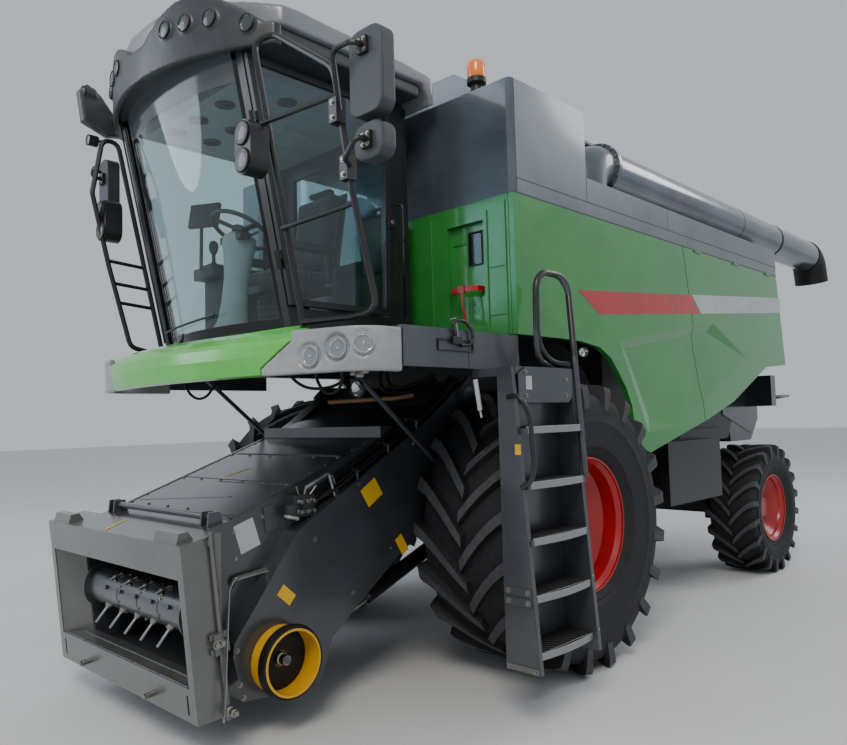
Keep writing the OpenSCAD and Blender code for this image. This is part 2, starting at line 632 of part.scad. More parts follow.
// Dark visor under and ahead of the roof, with a raised brow over each half of the windscreen
visor_low_z = roof_z - 40;
brow_in = 70;
brow_out = 880;
brow_in_z = visor_low_z + 195;
brow_out_z = shell_z + 2;
brow_rise = 195;
function brow_z(y) = let (t = max(0, min(1, (abs(y) - brow_in) / (brow_out - brow_in))))
  brow_in_z + (brow_out_z - brow_in_z) * t + brow_rise * sin(180 * t);
function brow_y(i) = brow_in + i * (brow_out - brow_in) / 11;
visor_outline = concat([[-roof_half_w - 1, visor_low_z], [-roof_half_w - 1, brow_out_z]],
  [for (i = [11:-1:0]) [-brow_y(i), brow_z(brow_y(i))]],
  [for (i = [0:11]) [brow_y(i), brow_z(brow_y(i))]],
  [[roof_half_w + 1, brow_out_z], [roof_half_w + 1, visor_low_z]]);
function visor_face(y) = visor_x - visor_r + sqrt(pow(visor_r, 2) - y * y);

// Round lamps of one half, as y and z
visor_lamps = [[306, visor_low_z + 202], [454, visor_low_z + 198], [610, visor_low_z + 185],
  [806, visor_low_z + 120]];
// Corner piece at the visor's right end, which holds one more lamp
wing_outline = [[1930, visor_low_z + 10], [2030, visor_low_z - 10], [2200, visor_low_z + 55],
  [2230, visor_low_z + 260], [2175, visor_low_z + 315], [2080, visor_low_z + 255], [1930, visor_low_z + 60]];

module visor() color(dark) at_row() {
  nose_slab(cab_rear_x + 70, roof_half_w - 24, visor_x - 20, visor_r - 20, roof_z, shell_z);
  intersection() {
    difference() {
      nose_slab(1500, roof_half_w, visor_x, visor_r, visor_low_z, crown_z + 20);
      translate([visor_x - visor_r, 0, visor_low_z - 1]) cylinder(h = 500, r = visor_r - 40, $fn = 144);
    }
    side_profile_x(1400, 2500, visor_outline);
  }
  both_sides() for (lamp = visor_lamps) translate([visor_face(lamp[0]), lamp[0], lamp[1]])
    rotate([0, 90, asin(lamp[0] / visor_r) / 2]) translate([0, 0, -20]) cylinder(h = 30, r = 50, $fn = 40);
  side_plate(wing_outline, -942, -870);
  translate([2120, -906, visor_low_z + 254]) rotate([0, 90, 0]) cylinder(h = 75, r = 50, $fn = 40);
}

// Seat: a pedestal, a cushion, a backrest and the armrests
module seat() color(black) at_row() {
  block([1080, -180, floor_z], [1380, 180, 2480]);
  block([1000, -250, 2480], [1460, 250, 2600]);
  translate([1010, 0, 2590]) rotate([0, -10, 0]) block([-60, -230, 0], [60, 230, 640]);
  both_sides() block([1040, 270, 2690], [1400, 340, 2750]);
  both_sides() block([1040, 249, 2500], [1100, 300, 2700]);
}

// Steering wheel on its column
column_foot = [1640, 0, floor_z];
column_head = [1560, 0, 2840];
wheel_tilt = -28;
module steering() color(black) at_row() {
  translate(column_foot) cylinder(h = 30, r = 95, $fn = 40);
  rod_between(column_foot + [0, 0, 20], column_head, 48);
  translate(column_head) rotate([0, wheel_tilt, 0]) {
    rotate_extrude($fn = 64) translate([190, 0]) circle(14, $fn = 20);
    cylinder(h = 40, r = 50, center = true, $fn = 32);
    for (a = [90, 210, 330]) rotate(a) block([0, -14, -8], [190, 14, 8]);
  }
}

// Platform round the cab, wider on the ladder's side
function bumper_front(y, inset = 0) = bumper_x - bumper_r + sqrt(pow(bumper_r - inset, 2) - y * y);
function platform_corner(half, inset) =
  corner_arc([body_front_x, half - inset, 0], [bumper_front(half - inset, inset) + 25, half - inset, 0],
    [bumper_front(half - 500, inset), half - 500, 0], 200 - inset / 2, 8);
function platform_side(half, inset) = concat([[body_front_x + 40, half - inset]],
  [for (p = platform_corner(half, inset)) [p[0], p[1]]],
  [for (i = [7:-1:1]) [bumper_front(i / 8 * (half - 420), inset), i / 8 * (half - 420)]]);

module platform_plan(inset) {
  left = platform_side(platform_half_w, inset);
  right = platform_side(platform_right_w, inset);
  polygon(concat(left, [[bumper_x - inset, 0]], [for (i = [len(right) - 1:-1:0]) [right[i][0], -right[i][1]]]));
}

module platform() color(grey) at_row() {
  translate([0, 0, platform_z - 30]) linear_extrude(30) platform_plan(130);
  block([body_front_x + 40, platform_half_w - 140, platform_z - 30], [1590, platform_half_w - 20, platform_z]);
  block([body_front_x + 40, platform_half_w - 30, platform_z - skirt_h], [1600, platform_half_w, platform_z]);
  block([body_front_x + 40, -platform_right_w, platform_z - skirt_h], [1500, -platform_right_w + 30, platform_z]);
  block([body_front_x + 40, -platform_right_w + 20, platform_z - 30], [1490, -platform_right_w + 140, platform_z]);
  both_sides() {
    block([-200, hull_half_w, platform_z - 120], [1700, hull_half_w + 80, platform_z - 30]);
    // Strut down to the chassis
    rod_between([1400, strut_y, platform_z - 110], [325, strut_y, 1060], 15);
  }
  // Cross beam under the front
  block([1600, -hull_half_w, platform_z - 150], [1680, hull_half_w, platform_z - 30]);
}
strut_y = 787;

// Curved bumper: its section is turned about the curve's centre
bumper_section = [[-30, bumper_low_z], [0, bumper_low_z + 8], [4, bumper_low_z + 100], [0, bumper_low_z + 160],
  [-12, bumper_low_z + 182], [-50, platform_z - 18], [-98, platform_z + 6], [-116, platform_z + 6],
  [-116, platform_z - 30], [-66, platform_z - 52], [-40, bumper_low_z + 166], [-30, bumper_low_z + 140]];
panel_joint_left = [[905, 1000], [905, bumper_low_z + 40], [1085, bumper_low_z + 170], [1085, 3000]];
panel_joint_right = [[-705, 1000], [-705, bumper_low_z + 40], [-825, bumper_low_z + 170], [-825, 3000]];

module bumper() color(green) at_row() {
  intersection() {
    translate([bumper_x - bumper_r, 0, 0]) rotate([0, 0, -30]) rotate_extrude(angle = 60, $fn = 360)
      polygon([for (p = bumper_section) [bumper_r + p[0], p[1]]]);
    side_profile_x(1000, 2500, concat(panel_joint_left, [for (i = [3:-1:0]) panel_joint_right[i]]));
  }
  // Cowl on the platform round the windscreen's foot, rising to the pillars
  difference() {
    union() {
      nose_slab(1500, cowl_half_w, bumper_x - 112, bumper_r - 112, platform_z + seat_gap, platform_z + 4);
      intersection() {
        nose_slab(1500, cowl_half_w - 1, cowl_x, cowl_r, platform_z + 2, platform_z + 90);
        side_profile_x(1400, 2500, concat([[cowl_half_w + 1, platform_z], [-cowl_half_w - 1, platform_z]],
          [for (i = [-6:6]) [i / 6 * (cowl_half_w + 1), platform_z + 18 + 42 * pow(i / 6, 2)]]));
      }
    }
    translate([cowl_x - cowl_r, 0, platform_z - 1]) cylinder(h = 100, r = cowl_r - cowl_t, $fn = 144);
  }
}
cowl_x = 1960;
cowl_r = 1390;
cowl_half_w = 800;
cowl_t = 44;

// Silver corner panels with recessed round lamps, as [y, z, direction] on the left
lamp_table = [[1190, bumper_low_z + 86, 20], [1335, bumper_low_z + 118, 24], [1462, bumper_low_z + 134, 50]];
lamp_r = 52;

module lamp_place(lamp) translate([bumper_front(lamp[0]) - (lamp[2] > 40 ? 8 : 0), lamp[0], lamp[1]])
  rotate([0, 90, lamp[2]]) children();

module lamp_panels() color(silver) at_row() {
  difference() {
    intersection() {
      translate([0, 0, bumper_low_z]) linear_extrude(platform_z - 14 - bumper_low_z) difference() {
        platform_plan(0);
        platform_plan(40);
      }
      union() {
        block([1600 + seat_gap, 0, 1000], [2500, 1600, 3000]);
        block([1500 + seat_gap, -1600, 1000], [2500, 1, 3000]);
      }
    }
    side_profile_x(1000, 2500, concat([for (p = panel_joint_left) p + [4, 0]],
      [for (i = [3:-1:0]) panel_joint_right[i] - [4, 0]]));
    for (lamp = lamp_table) lamp_place(lamp) translate([0, 0, -26]) cylinder(h = 60, r1 = 60, r2 = 86, $fn = 48);
  }
  for (lamp = lamp_table) lamp_place(lamp) translate([0, 0, -40]) cylinder(h = 28, r = lamp_r, $fn = 48);
}

// Tube frames beside the front pillars: the left one guards the walkway, the right one is a short ladder
tube_r = 17;
rung_r = 12;

module railings() color(black) at_row() {
  bent_tube([[1820, 1000, platform_z + 6], [2050, 918, 3560], [1985, 1000, 3600], [1960, 1450, 3270],
    [1862, 1450, 2700], [1715, 1450, platform_z + 60], [1760, 1300, platform_z + 45],
    [1835, 1010, platform_z + 45]], tube_r, 110);
  translate([1820, 1000, platform_z]) cylinder(h = 14, r = 38, $fn = 32);
  rod_between(left_post(3.13), [1945, 1450, 3140], rung_r);
  rod_between(left_post(2.6), [1845, 1450, 2640], rung_r);
  // Right frame
  bent_tube([[1640, -890, platform_z + 6], [1965, -890, 3560], [2070, -890, 3560], [2140, -890, 3180],
    [2030, -890, 2700], [1880, -890, 2150], [1700, -890, 2110]], tube_r, 70);
  translate([1640, -890, platform_z]) cylinder(h = 14, r = 38, $fn = 32);
  for (z = [2430, 2560, 2710])
    rod_between([right_post(z), -890, z], [1880 + (z - 2150) * 0.272, -890, z + 20], rung_r);
  // Twin lamps in their housings
  lamp_housing([2075, 905, 3000]);
  lamp_housing([2040, -890, 3000]);
  // Arms of the mirrors with their clamps
  bent_tube([[1945, 1468, 3060], [2010, 1500, 3320], [2020, 1655, 3300],
    [mirror_table[0][0] + mirror_depth + seat_gap, 1655, 3300]], arm_r, 45);
  bent_tube([[1885, 1468, 2810], [1990, 1550, 2795], [2010, 1655, 2865],
    [mirror_table[1][0] + mirror_depth + seat_gap, 1655, 2865]], arm_r, 45);
  for (z = [3060, 2800]) translate([1880 + (z - 2780) * 0.225, 1450, z]) block([-30, -28, -60], [30, 28, 60]);
  bent_tube([[2085, -890, 3330], [2080, -1010, 3400], [2065, -1085, 3350],
    [mirror_table[2][0] + mirror_depth + seat_gap, -1085, 3350]], arm_r, 45);
  // Small lamp on the top bend of the right frame
  rod_between([2010, -890, 3560], [2100, -945, 3556], 10);
  translate([2085, -945, 3556]) rotate([0, 90, 0]) cylinder(h = 60, r = 38, $fn = 32);
}
arm_r = 13;
function left_post(h) = [1820 + (h * 1000 - platform_z) * 0.196, 1000 - (h * 1000 - platform_z) * 0.07, h * 1000];
function right_post(z) = 1640 + (z - platform_z) * 0.218;

module lamp_housing(place) translate(place) {
  block([-75, -72, -70], [40, 72, 70]);
  for (z = [-70, 70]) translate([-75, 0, z]) rotate([0, 90, 0]) {
    cylinder(h = 115, r = 72, $fn = 40);
    cylinder(h = 125, r = 60, $fn = 40);
  }
}

// Housings of the main and the wide-angle mirrors, as rear x, y, z, width and height
mirror_table = [[1860, 1655, 3185, 220, 400], [1850, 1655, 2865, 190, 170], [1895, -1085, 3300, 150, 380]];
mirror_depth = 88;
module mirrors() color(grey) at_row() for (m = mirror_table) translate([m[0], m[1], m[2]]) difference() {
  rounded_block(m[3], m[4], mirror_depth, 55);
  translate([-1, 0, 0]) rounded_block(m[3] - 24, m[4] - 24, 9, 45);
}

// A block along x with rounded corners in the front view
module rounded_block(w, h, depth, r) {
  corners = [[-w, -h, 0] / 2, [w, -h, 0] / 2, [w, h, 0] / 2, [-w, h, 0] / 2];
  side_profile_x(0, depth, [for (i = [0:3]) each [for (p = corner_arc(corners[(i + 3) % 4], corners[i],
    corners[(i + 1) % 4], r, 6)) [p[0], p[1]]]]);
}

// Ladder with steps between two stringers, hung from the platform's side
ladder_head_z = platform_z - skirt_h;
ladder_foot_z = 300;
ladder_front_x = 1010;
ladder_in_y = front_track_y + front_tyre_w / 2 + 50;
step_rise = (ladder_head_z - ladder_foot_z - 130) / step_count;

module ladder() color(grey) at_row() {
  for (i = [0:step_count - 1]) translate([0, 0, ladder_foot_z + 60 + i * step_rise])
    block([ladder_front_x - ladder_w - 10, ladder_in_y, 0], [ladder_front_x + 10, ladder_in_y + 190 - 8 * i, 30]);
  for (x = [ladder_front_x, ladder_front_x - ladder_w - 30])
    side_profile_x(x, x + 30, [[ladder_in_y, ladder_head_z], [ladder_in_y, ladder_foot_z],
      [ladder_in_y + 215, ladder_foot_z], [ladder_y - 30, ladder_head_z]]);
  block([ladder_front_x - ladder_w, platform_half_w - 60, ladder_head_z - 45],
    [ladder_front_x, ladder_in_y + 100, ladder_head_z]);
  // Handrails
  bent_tube([[ladder_front_x - ladder_w - 15, ladder_y + 40, 1250],
    [ladder_front_x - ladder_w - 60, ladder_y - 30, 1900],
    [ladder_front_x - ladder_w - 150, 1640, 2430], [ladder_front_x - ladder_w + 170, 1640, 2430],
    [ladder_front_x - ladder_w + 190, 1640, 1900], [ladder_front_x - ladder_w - 20, 1650, 1880]], tube_r, 110);
}

// A front view outline in y and z, given a depth from x0 to x1
module side_profile_x(x0, x1, outline) translate([x0, 0, 0]) rotate([90, 0, 90])
  linear_extrude(x1 - x0) polygon(outline);

// Feeder house: an open box between the header frame and the threshing drum
frame_depth = 134;
function frame_rear_x(z) = header_front_x + (z - header_foot_z) * tan(header_lean) - frame_depth / cos(header_lean);
feeder_wall = 25;
feeder_outline = [[frame_rear_x(1040) - seat_gap, 1040], [2056, 1100], [874, 1520], [420, 1700],
  [330, 1790], [190, 1850],
  [120, 1700], [140, 1180], [300, 1110], [1600, 330], [frame_rear_x(235) - seat_gap, 235]];
feeder_hollow = [[2500, 1005], [2056, 1070], [866, 1490], [410, 1672], [60, 1790], [60, 1205], [310, 1140],
  [1610, 360], [2500, 262]];
shield_outline = [[2109, 506], [1714, 1010], [673, 1596], [430, 1760], [300, 1835], [215, 1790], [215, 1700],
  [300, 1600], [420, 1240], [790, 868], [973, 767], [1484, 406], [1576, 169], [2059, 211], [2118, 441]];
shield_y = 765;
shield_t = 12;
// Top of the feeder's box at x
function feeder_top(x) = 1100 + (2056 - x) * 0.3553;

module feeder_house() color(dark) at_row() {
  difference() {
    side_plate(feeder_outline, -feeder_half_w, feeder_half_w);
    side_plate(feeder_hollow, -feeder_half_w + feeder_wall, feeder_half_w - feeder_wall);
  }
  both_sides() {
    // Side shield: a plate standing off the box on its folded edge
    difference() {
      side_plate(shield_outline, feeder_half_w - 1, shield_y);
      side_plate([[2080, 500], [1705, 985], [700, 1550], [760, 925], [960, 800], [1510, 415], [1600, 200],
        [2040, 240], [2085, 440]], feeder_half_w, shield_y - shield_t);
    }
    cross_bar(feeder_pivot_x, feeder_pivot_z, trunnion_r, shield_y - 1, bearing_y + 36);
    for (y = [lift_y - 55, lift_y + 40])
      side_plate([[lift_end_x - 130, lift_end_z + 170], [lift_end_x - 40, lift_end_z - 40],
        [lift_end_x + 40, lift_end_z - 40], [lift_end_x + 110, lift_end_z + 40]], y, y + 15);
  }
  // The header's drive shaft leaves on the left
  cross_bar(guard_x, guard_z, stub_r, shield_y - shield_t / 2, shield_y + stub_l);
  // Covers on the top, with a stiffening bar across their rear end
  for (x = [[2020, 1640], [1630, 1270], [1260, 985]])
    side_plate([[x[0], feeder_top(x[0]) - 1], [x[0], feeder_top(x[0]) + 7], [x[1], feeder_top(x[1]) + 7],
      [x[1], feeder_top(x[1]) - 1]], -feeder_half_w + 12, feeder_half_w - 12);
  block([880, -feeder_half_w, feeder_top(880) - 25], [975, feeder_half_w, 1562]);
  // Lock bar behind the mounting frame with its end brackets
  cross_bar(2118, 1122, 19, -600, 600);
  both_sides() for (y = [520, 590]) side_plate([[2070, 1090], [2085, 1150], [2150, 1150], [2160, 1062]], y, y + 14);
  // Coupler block for the hydraulic lines and its bent handle
  block([1560, feeder_half_w - 1, 1085], [1690, feeder_half_w + 70, 1195]);
  cross_bar(1625, 1140, 34, feeder_half_w + 69, feeder_half_w + 95);
  bent_tube([[1380, feeder_half_w - 4, 1120], [1365, feeder_half_w + 60, 1140], [1420, feeder_half_w + 60, 1300],
    [1540, feeder_half_w + 55, 1250], [1560, feeder_half_w - 4, 1190]], 10, 30);
  bent_tube([[2044, feeder_half_w - 4, 760], [2044, feeder_half_w + 28, 802], [1834, feeder_half_w + 28, 822],
    [1834, feeder_half_w - 4, 822]], 11, 20);
}
stub_l = 80;

// Mounting frame of bent sheet, with funnel walls down to the feeder's width and hooks on its top edge
sheet_t = 12;
frame_side = [[0, 0], [0, header_h], [-218, header_h + 16], [-frame_depth, -10]];

module header_frame() color(grey) at_row() translate([header_front_x, 0, header_foot_z]) rotate([0, header_lean, 0]) {
  both_sides() {
    side_plate(frame_side, header_half_w - sheet_t, header_half_w);
    // Folded front edge
    block([-sheet_t, header_half_w - 52, 1], [0, header_half_w - 1, header_h - 1]);
    // Funnel wall
    linear_extrude(header_h - 40) polygon([[-sheet_t / 2, header_half_w - 52],
      [-frame_depth + sheet_t / 2, feeder_half_w - 14],
      [-frame_depth + sheet_t / 2, feeder_half_w + 2], [-sheet_t / 2, header_half_w - 36]]);
    // Hooks and studs
    side_plate([[-10, header_h - 4], [-104, header_h], [-78, header_h + 48], [-30, header_h + 48]], 540, 770);
    translate([-1, 400, 62]) rotate([0, 90, 0]) cylinder(h = 42, r = 15, $fn = 32);
  }
  // Top band, top plate, rear plate and the lower beam
  block([-sheet_t, -header_half_w + 1, 683], [0, header_half_w - 1, header_h - 1]);
  side_plate([[0, header_h - sheet_t], [0, header_h], [-217, header_h + 16], [-216, header_h + 4]],
    -header_half_w + 1, header_half_w - 1);
  difference() {
    block([-frame_depth, -header_half_w + 1, 0], [-frame_depth + sheet_t, header_half_w - 1, header_h + 5]);
    block([-frame_depth - 1, -feeder_half_w + feeder_wall, 110], [-frame_depth + sheet_t + 1,
      feeder_half_w - feeder_wall, header_h - 60]);
  }
  difference() {
    block([-frame_depth + 2, -header_half_w + 1, 0], [0, header_half_w - 1, 165]);
    block([-frame_depth + 20, -header_half_w + 20, -1], [-sheet_t, header_half_w - 20, 165 - sheet_t]);
    both_sides() block([-sheet_t - 1, 741, 34], [1, 759, 130]);
  }
  // Lip plate with its ribs behind the lower beam
  side_plate([[-6, 160], [-frame_depth + 4, 118], [-frame_depth + 4, 106], [-6, 150]], -header_half_w + 54,
    header_half_w - 54);
  // Lock bar down the left side with its latch
  translate([-frame_depth - 20, header_half_w + 14, -24]) cylinder(h = 900, r = 13, $fn = 32);
  block([-frame_depth - 30, header_half_w - 2, 300], [-frame_depth + 24, header_half_w + 32, 400]);
  cross_bar(-frame_depth - 20, 22, 16, header_half_w - 2, header_half_w + 62);
  block([-frame_depth - 32, header_half_w - 2, 820], [-frame_depth, header_half_w + 20, 850]);
}

// Yellow guard round the drive shaft's end
module shaft_guard() color("#d9a520") at_row() difference() {
  union() {
    cross_bar(guard_x, guard_z, 170, shield_y + seat_gap, shield_y + 135);
    cross_bar(guard_x, guard_z, 178, shield_y + 95, shield_y + 118);
  }
  cross_bar(guard_x, guard_z, 158, shield_y + 12, shield_y + 136);
  cross_bar(guard_x, guard_z, 40, shield_y - 1, shield_y + 136);
}
guard_x = 1846;
guard_z = 377;
stub_r = 17.5;

// Front drum of the feeder chain: a shell of screwed halves with its retracting fingers
drum_x = 2170;
drum_z = 640;
drum_r = 115;
finger_reach = 228;

module feeder_drum() color(dark) at_row() {
  half = feeder_half_w - feeder_wall - 6;
  cross_bar(drum_x, drum_z, drum_r, -half + 20, half - 20);
  both_sides() cross_bar(drum_x, drum_z, drum_r + 30, half - 30, half - 18);
  both_sides() cross_bar(drum_x, drum_z, 30, half - 20, feeder_half_w - feeder_wall - seat_gap);
  for (i = [-2:2]) translate([drum_x, i * 190, drum_z]) rotate([0, 138, 0]) finger();
  for (i = [-2:1]) translate([drum_x, i * 190 + 95, drum_z]) rotate([0, -35, 0]) finger();
  // Lugs that screw the shell's halves together
  for (i = [-2:2], a = [75, 255]) translate([drum_x, i * 190 + 50, drum_z]) rotate([0, a, 0])
    translate([0, 0, drum_r - 8]) cylinder(h = 22, r = 12, $fn = 24);
}
module finger() {
  cylinder(h = finger_reach, r = 8, $fn = 20);
  translate([0, 0, drum_r - 6]) cylinder(h = 18, r = 17, $fn = 24);
}

// Lift cylinders between the front axle and the feeder house
lift_length = norm([lift_end_x - lift_base_x, lift_end_z - lift_base_z]);
lift_angle = atan((lift_base_z - lift_end_z) / (lift_end_x - lift_base_x));
rod_r = 28;
barrel_r = 48;
barrel_end = 860;

module lift_axis(side) at_row() on_side(side) translate([lift_base_x, lift_y, lift_base_z])
  rotate([0, 90 + lift_angle, 0])
  children();
module eye(hole) rotate([90, 0, 0]) difference() {
  cylinder(h = 60, r = 46, center = true, $fn = 48);
  cylinder(h = 61, r = hole, center = true, $fn = 48);
}

module lift_barrel(side) lift_axis(side) {
  eye(lift_pin_r + 0.05);
  difference() {
    translate([0, 0, 42]) cylinder(h = barrel_end - 42, r = barrel_r, $fn = 48);
    translate([0, 0, 80]) cylinder(h = barrel_end - 80 - 30, r = barrel_r - 10, $fn = 48);
    translate([0, 0, barrel_end - 31]) cylinder(h = 32, r = rod_r + 0.05, $fn = 48);
  }
}
module lift_rod(side) lift_axis(side) {
  translate([0, 0, 200]) cylinder(h = 40, r = barrel_r - 10.05, $fn = 48);
  translate([0, 0, 239]) cylinder(h = lift_length - 239 - 42, r = rod_r, $fn = 48);
  translate([0, 0, lift_length]) eye(lift_pin_r);
}
module lift_barrel_left() color(black) lift_barrel(1);
module lift_barrel_right() color(black) lift_barrel(-1);
module lift_rod_left() color(silver) lift_rod(1);
module lift_rod_right() color(silver) lift_rod(-1);

// Unloading auger folded back along the left side
elbow_r = auger_r + 20;

module auger_elbow() color(grey) at_row() translate([auger_x, auger_y, 0]) {
  translate([0, 0, ledge_z + seat_gap])
    cylinder(h = auger_z - elbow_r - ledge_z - seat_gap + 1, r = auger_r + 2, $fn = 64);
  translate([-elbow_r, 0, auger_z - elbow_r]) rotate([90, 0, 0]) rotate_extrude(angle = 90, $fn = 64)
    translate([elbow_r, 0]) circle(auger_r, $fn = 64);
  translate([-elbow_r, 0, auger_z]) rotate([0, -90, 0]) cylinder(h = 30, r = auger_r + 28, $fn = 64);
}
module auger_tube() color(grey) at_row() translate([auger_end_x, auger_y, auger_z]) rotate([0, 90, 0])
  cylinder(h = auger_x - elbow_r - 30 - auger_end_x, r = auger_r, $fn = 64);
module auger_spout() color(black) at_row() translate([auger_end_x, auger_y, auger_z - elbow_r]) {
  rotate([90, 0, 0]) rotate_extrude(angle = 75, start = 90, $fn = 64) translate([elbow_r, 0]) difference() {
    circle(auger_r + 6, $fn = 64);
    circle(auger_r - 6, $fn = 64);
  }
  rotate([0, 15, 0]) translate([-elbow_r, 0, -160]) difference() {
    cylinder(h = 160, r = auger_r + 6, $fn = 64);
    translate([0, 0, -1]) cylinder(h = 162, r = auger_r - 6, $fn = 64);
  }
}

module beacon() color("orange") at_row() translate([body_front_x - 70, body_half_w - 311, tank_z]) {
  cylinder(h = 70, r = 50, $fn = 40);
  translate([0, 0, 70]) cylinder(h = 40, r = 62, $fn = 40);
  translate([0, 0, 110]) cylinder(h = 120, r = 56, $fn = 40);
}

chassis();
front_axle();
engine();
body_hull();
grain_tank();
tank_lid_left();
tank_lid_right();
body_front();
side_panel_left();
rear_hood();
engine_deck();
cab_floor();
cab_frame();
cab_glass();
roof();
visor();
seat();
steering();
platform();
bumper();
lamp_panels();
railings();
mirrors();
ladder();
rear_axle();
beacon();
feeder_house();
header_frame();
shaft_guard();
feeder_drum();
lift_barrel_left();
lift_barrel_right();
lift_rod_left();
lift_rod_right();
auger_elbow();
auger_tube();
auger_spout();
door_frame();
door_glass();
side_door_left();
side_door_right_front();
side_door_right();
tyre_front_left();
rim_front_left();
tyre_front_right();
rim_front_right();
tyre_rear_left();
rim_rear_left();
tyre_rear_right();
rim_rear_right();
knuckle_left();
knuckle_right();
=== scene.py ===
"""Looks of a combine harvester without its header, built round its packed construction model.

Pieces are modelled in millimetres from the front axle's middle on the ground, as the construction
is, and then placed in the frame in metres.
"""
import math

import bmesh
import bpy
from mathutils import Matrix, Vector


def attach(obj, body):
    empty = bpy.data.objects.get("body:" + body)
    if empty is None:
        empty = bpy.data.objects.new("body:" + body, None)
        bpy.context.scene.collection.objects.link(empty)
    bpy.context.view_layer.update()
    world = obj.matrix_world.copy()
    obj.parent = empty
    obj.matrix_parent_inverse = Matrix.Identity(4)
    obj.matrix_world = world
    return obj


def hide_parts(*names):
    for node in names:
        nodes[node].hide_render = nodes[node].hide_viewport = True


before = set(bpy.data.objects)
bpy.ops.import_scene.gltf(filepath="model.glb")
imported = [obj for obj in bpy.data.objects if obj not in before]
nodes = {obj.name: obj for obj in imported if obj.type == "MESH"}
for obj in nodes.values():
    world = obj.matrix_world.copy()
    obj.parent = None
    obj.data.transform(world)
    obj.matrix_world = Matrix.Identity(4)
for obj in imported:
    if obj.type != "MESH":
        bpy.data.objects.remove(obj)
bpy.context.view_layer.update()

FRONT_AXLE = Vector((1.712, -0.132, 0.0))
PLACE = Matrix.Translation(FRONT_AXLE) @ Matrix.Scale(0.001, 4)
FULL_TURN = 2 * math.pi

# ---- Sizes of the construction that the pieces lie on, in mm ----

SKIN = 0.2  # how far a thin piece stands off the face that it lies on
BODY_SIDE_Y, BODY_FRONT_X, BODY_REAR_X = 1471, 618, -3745
SEAM_Z, LEDGE_Z, TANK_Z = 2939, 3200, 3650  # green to grey, the side ledges, the tank's lids
RECESS_X = 580  # floor of the recess in the green front face
PLATFORM_SIDE_Y = 1500
BUMPER_X, BUMPER_R = 2150, 3500  # foremost point and plan radius of the bumper's curve
VISOR_X, VISOR_R = 2250, 1488  # the same of the visor's
CAB_FLOOR_Z = 2100
FRONT_R, FRONT_W, FRONT_Y, FRONT_RIM_R = 900, 770, 1200, 430
REAR_R, REAR_W, REAR_Y, REAR_RIM_R = 625, 470, 1165, 325
WHEELBASE = 3640
RIM_DISC_Y = 1285  # outer face of the front rims' discs
SHIELD_Y, WALL_Y = 765, 640  # outer faces of the feeder's shields and of its walls
FEEDER_SLOPE = 0.3553  # fall of the feeder's top per mm of length
GUARD_X, GUARD_Z, GUARD_R = 1846, 377, 170
AUGER_Y, AUGER_Z, AUGER_R = 1235, 3425, 175
HOOD_REAR_X = -4900


def linked(name, data):
    """A new object in the scene."""
    made = bpy.data.objects.new(name, data)
    bpy.context.scene.collection.objects.link(made)
    return made


# ---- Camera at the photograph's place, solved from the photograph ----

CAMERA_PLACE = Vector((4.159, 4.114, 1.601))
CAMERA_LENS_MM = 31.78
CAMERA_YAW, CAMERA_PITCH, CAMERA_ROLL = (math.radians(a) for a in (-135.92, 3.55, -1.60))

camera_data = bpy.data.cameras.new("camera")
camera = linked("camera", camera_data)
bpy.context.scene.camera = camera
camera_data.sensor_fit = "HORIZONTAL"
camera_data.sensor_width = 36.0
camera_data.lens = CAMERA_LENS_MM
ahead = Vector((math.cos(CAMERA_YAW) * math.cos(CAMERA_PITCH), math.sin(CAMERA_YAW) * math.cos(CAMERA_PITCH),
                math.sin(CAMERA_PITCH)))
level_right = Vector((math.sin(CAMERA_YAW), -math.cos(CAMERA_YAW), 0.0))
level_up = level_right.cross(ahead)
right = math.cos(CAMERA_ROLL) * level_right + math.sin(CAMERA_ROLL) * level_up
up = -math.sin(CAMERA_ROLL) * level_right + math.cos(CAMERA_ROLL) * level_up
turn_matrix = Matrix((right, up, -ahead)).transposed().to_4x4()
camera.matrix_world = Matrix.Translation(FRONT_AXLE + CAMERA_PLACE) @ turn_matrix

# ---- Materials ----


def linear(hex_colour, alpha=1.0):
    """An sRGB hex colour as a linear one."""
    parts = [int(hex_colour[i:i + 2], 16) / 255 for i in (1, 3, 5)]
    return tuple(c / 12.92 if c <= 0.04045 else ((c + 0.055) / 1.055) ** 2.4 for c in parts) + (alpha,)


def add(tree, kind, inputs=None, **settings):
    """Adds a node. An input is a value or another node's output."""
    node = tree.nodes.new("ShaderNode" + kind)
    for name, value in settings.items():
        setattr(node, name, value)
    for name, value in (inputs or {}).items():
        if isinstance(value, bpy.types.NodeSocket):
            tree.links.new(value, node.inputs[name])
        else:
            node.inputs[name].default_value = value
    return node


def start_material(name):
    """An empty material with Object coordinates ready."""
    material = bpy.data.materials.new(name)
    material.use_nodes = True
    tree = material.node_tree
    tree.nodes.clear()
    place = add(tree, "TexCoord").outputs["Object"]
    return material, tree, place


def close_material(tree, shader):
    add(tree, "OutputMaterial", {"Surface": shader.outputs[0]})


def tinted(tree, factor, dark, light):
    """A colour between two hex colours."""
    mix = add(tree, "Mix", {"Factor": factor}, data_type="RGBA")
    mix.inputs["A"].default_value = linear(dark)
    mix.inputs["B"].default_value = linear(light)
    return mix.outputs["Result"]


def noise(tree, place, size_mm, detail=4.0, roughness=0.55):
    """Noise whose features are about size_mm across."""
    return add(tree, "TexNoise", {"Vector": place, "Scale": 1000.0 / size_mm, "Detail": detail,
                                  "Roughness": roughness}).outputs["Fac"]


def spread(tree, value, low, high, to_low, to_high):
    return add(tree, "MapRange", {"Value": value, "From Min": low, "From Max": high,
                                  "To Min": to_low, "To Max": to_high}).outputs["Result"]


def calc(tree, operation, first, second=0.5):
    return add(tree, "Math", {0: first, 1: second}, operation=operation).outputs[0]


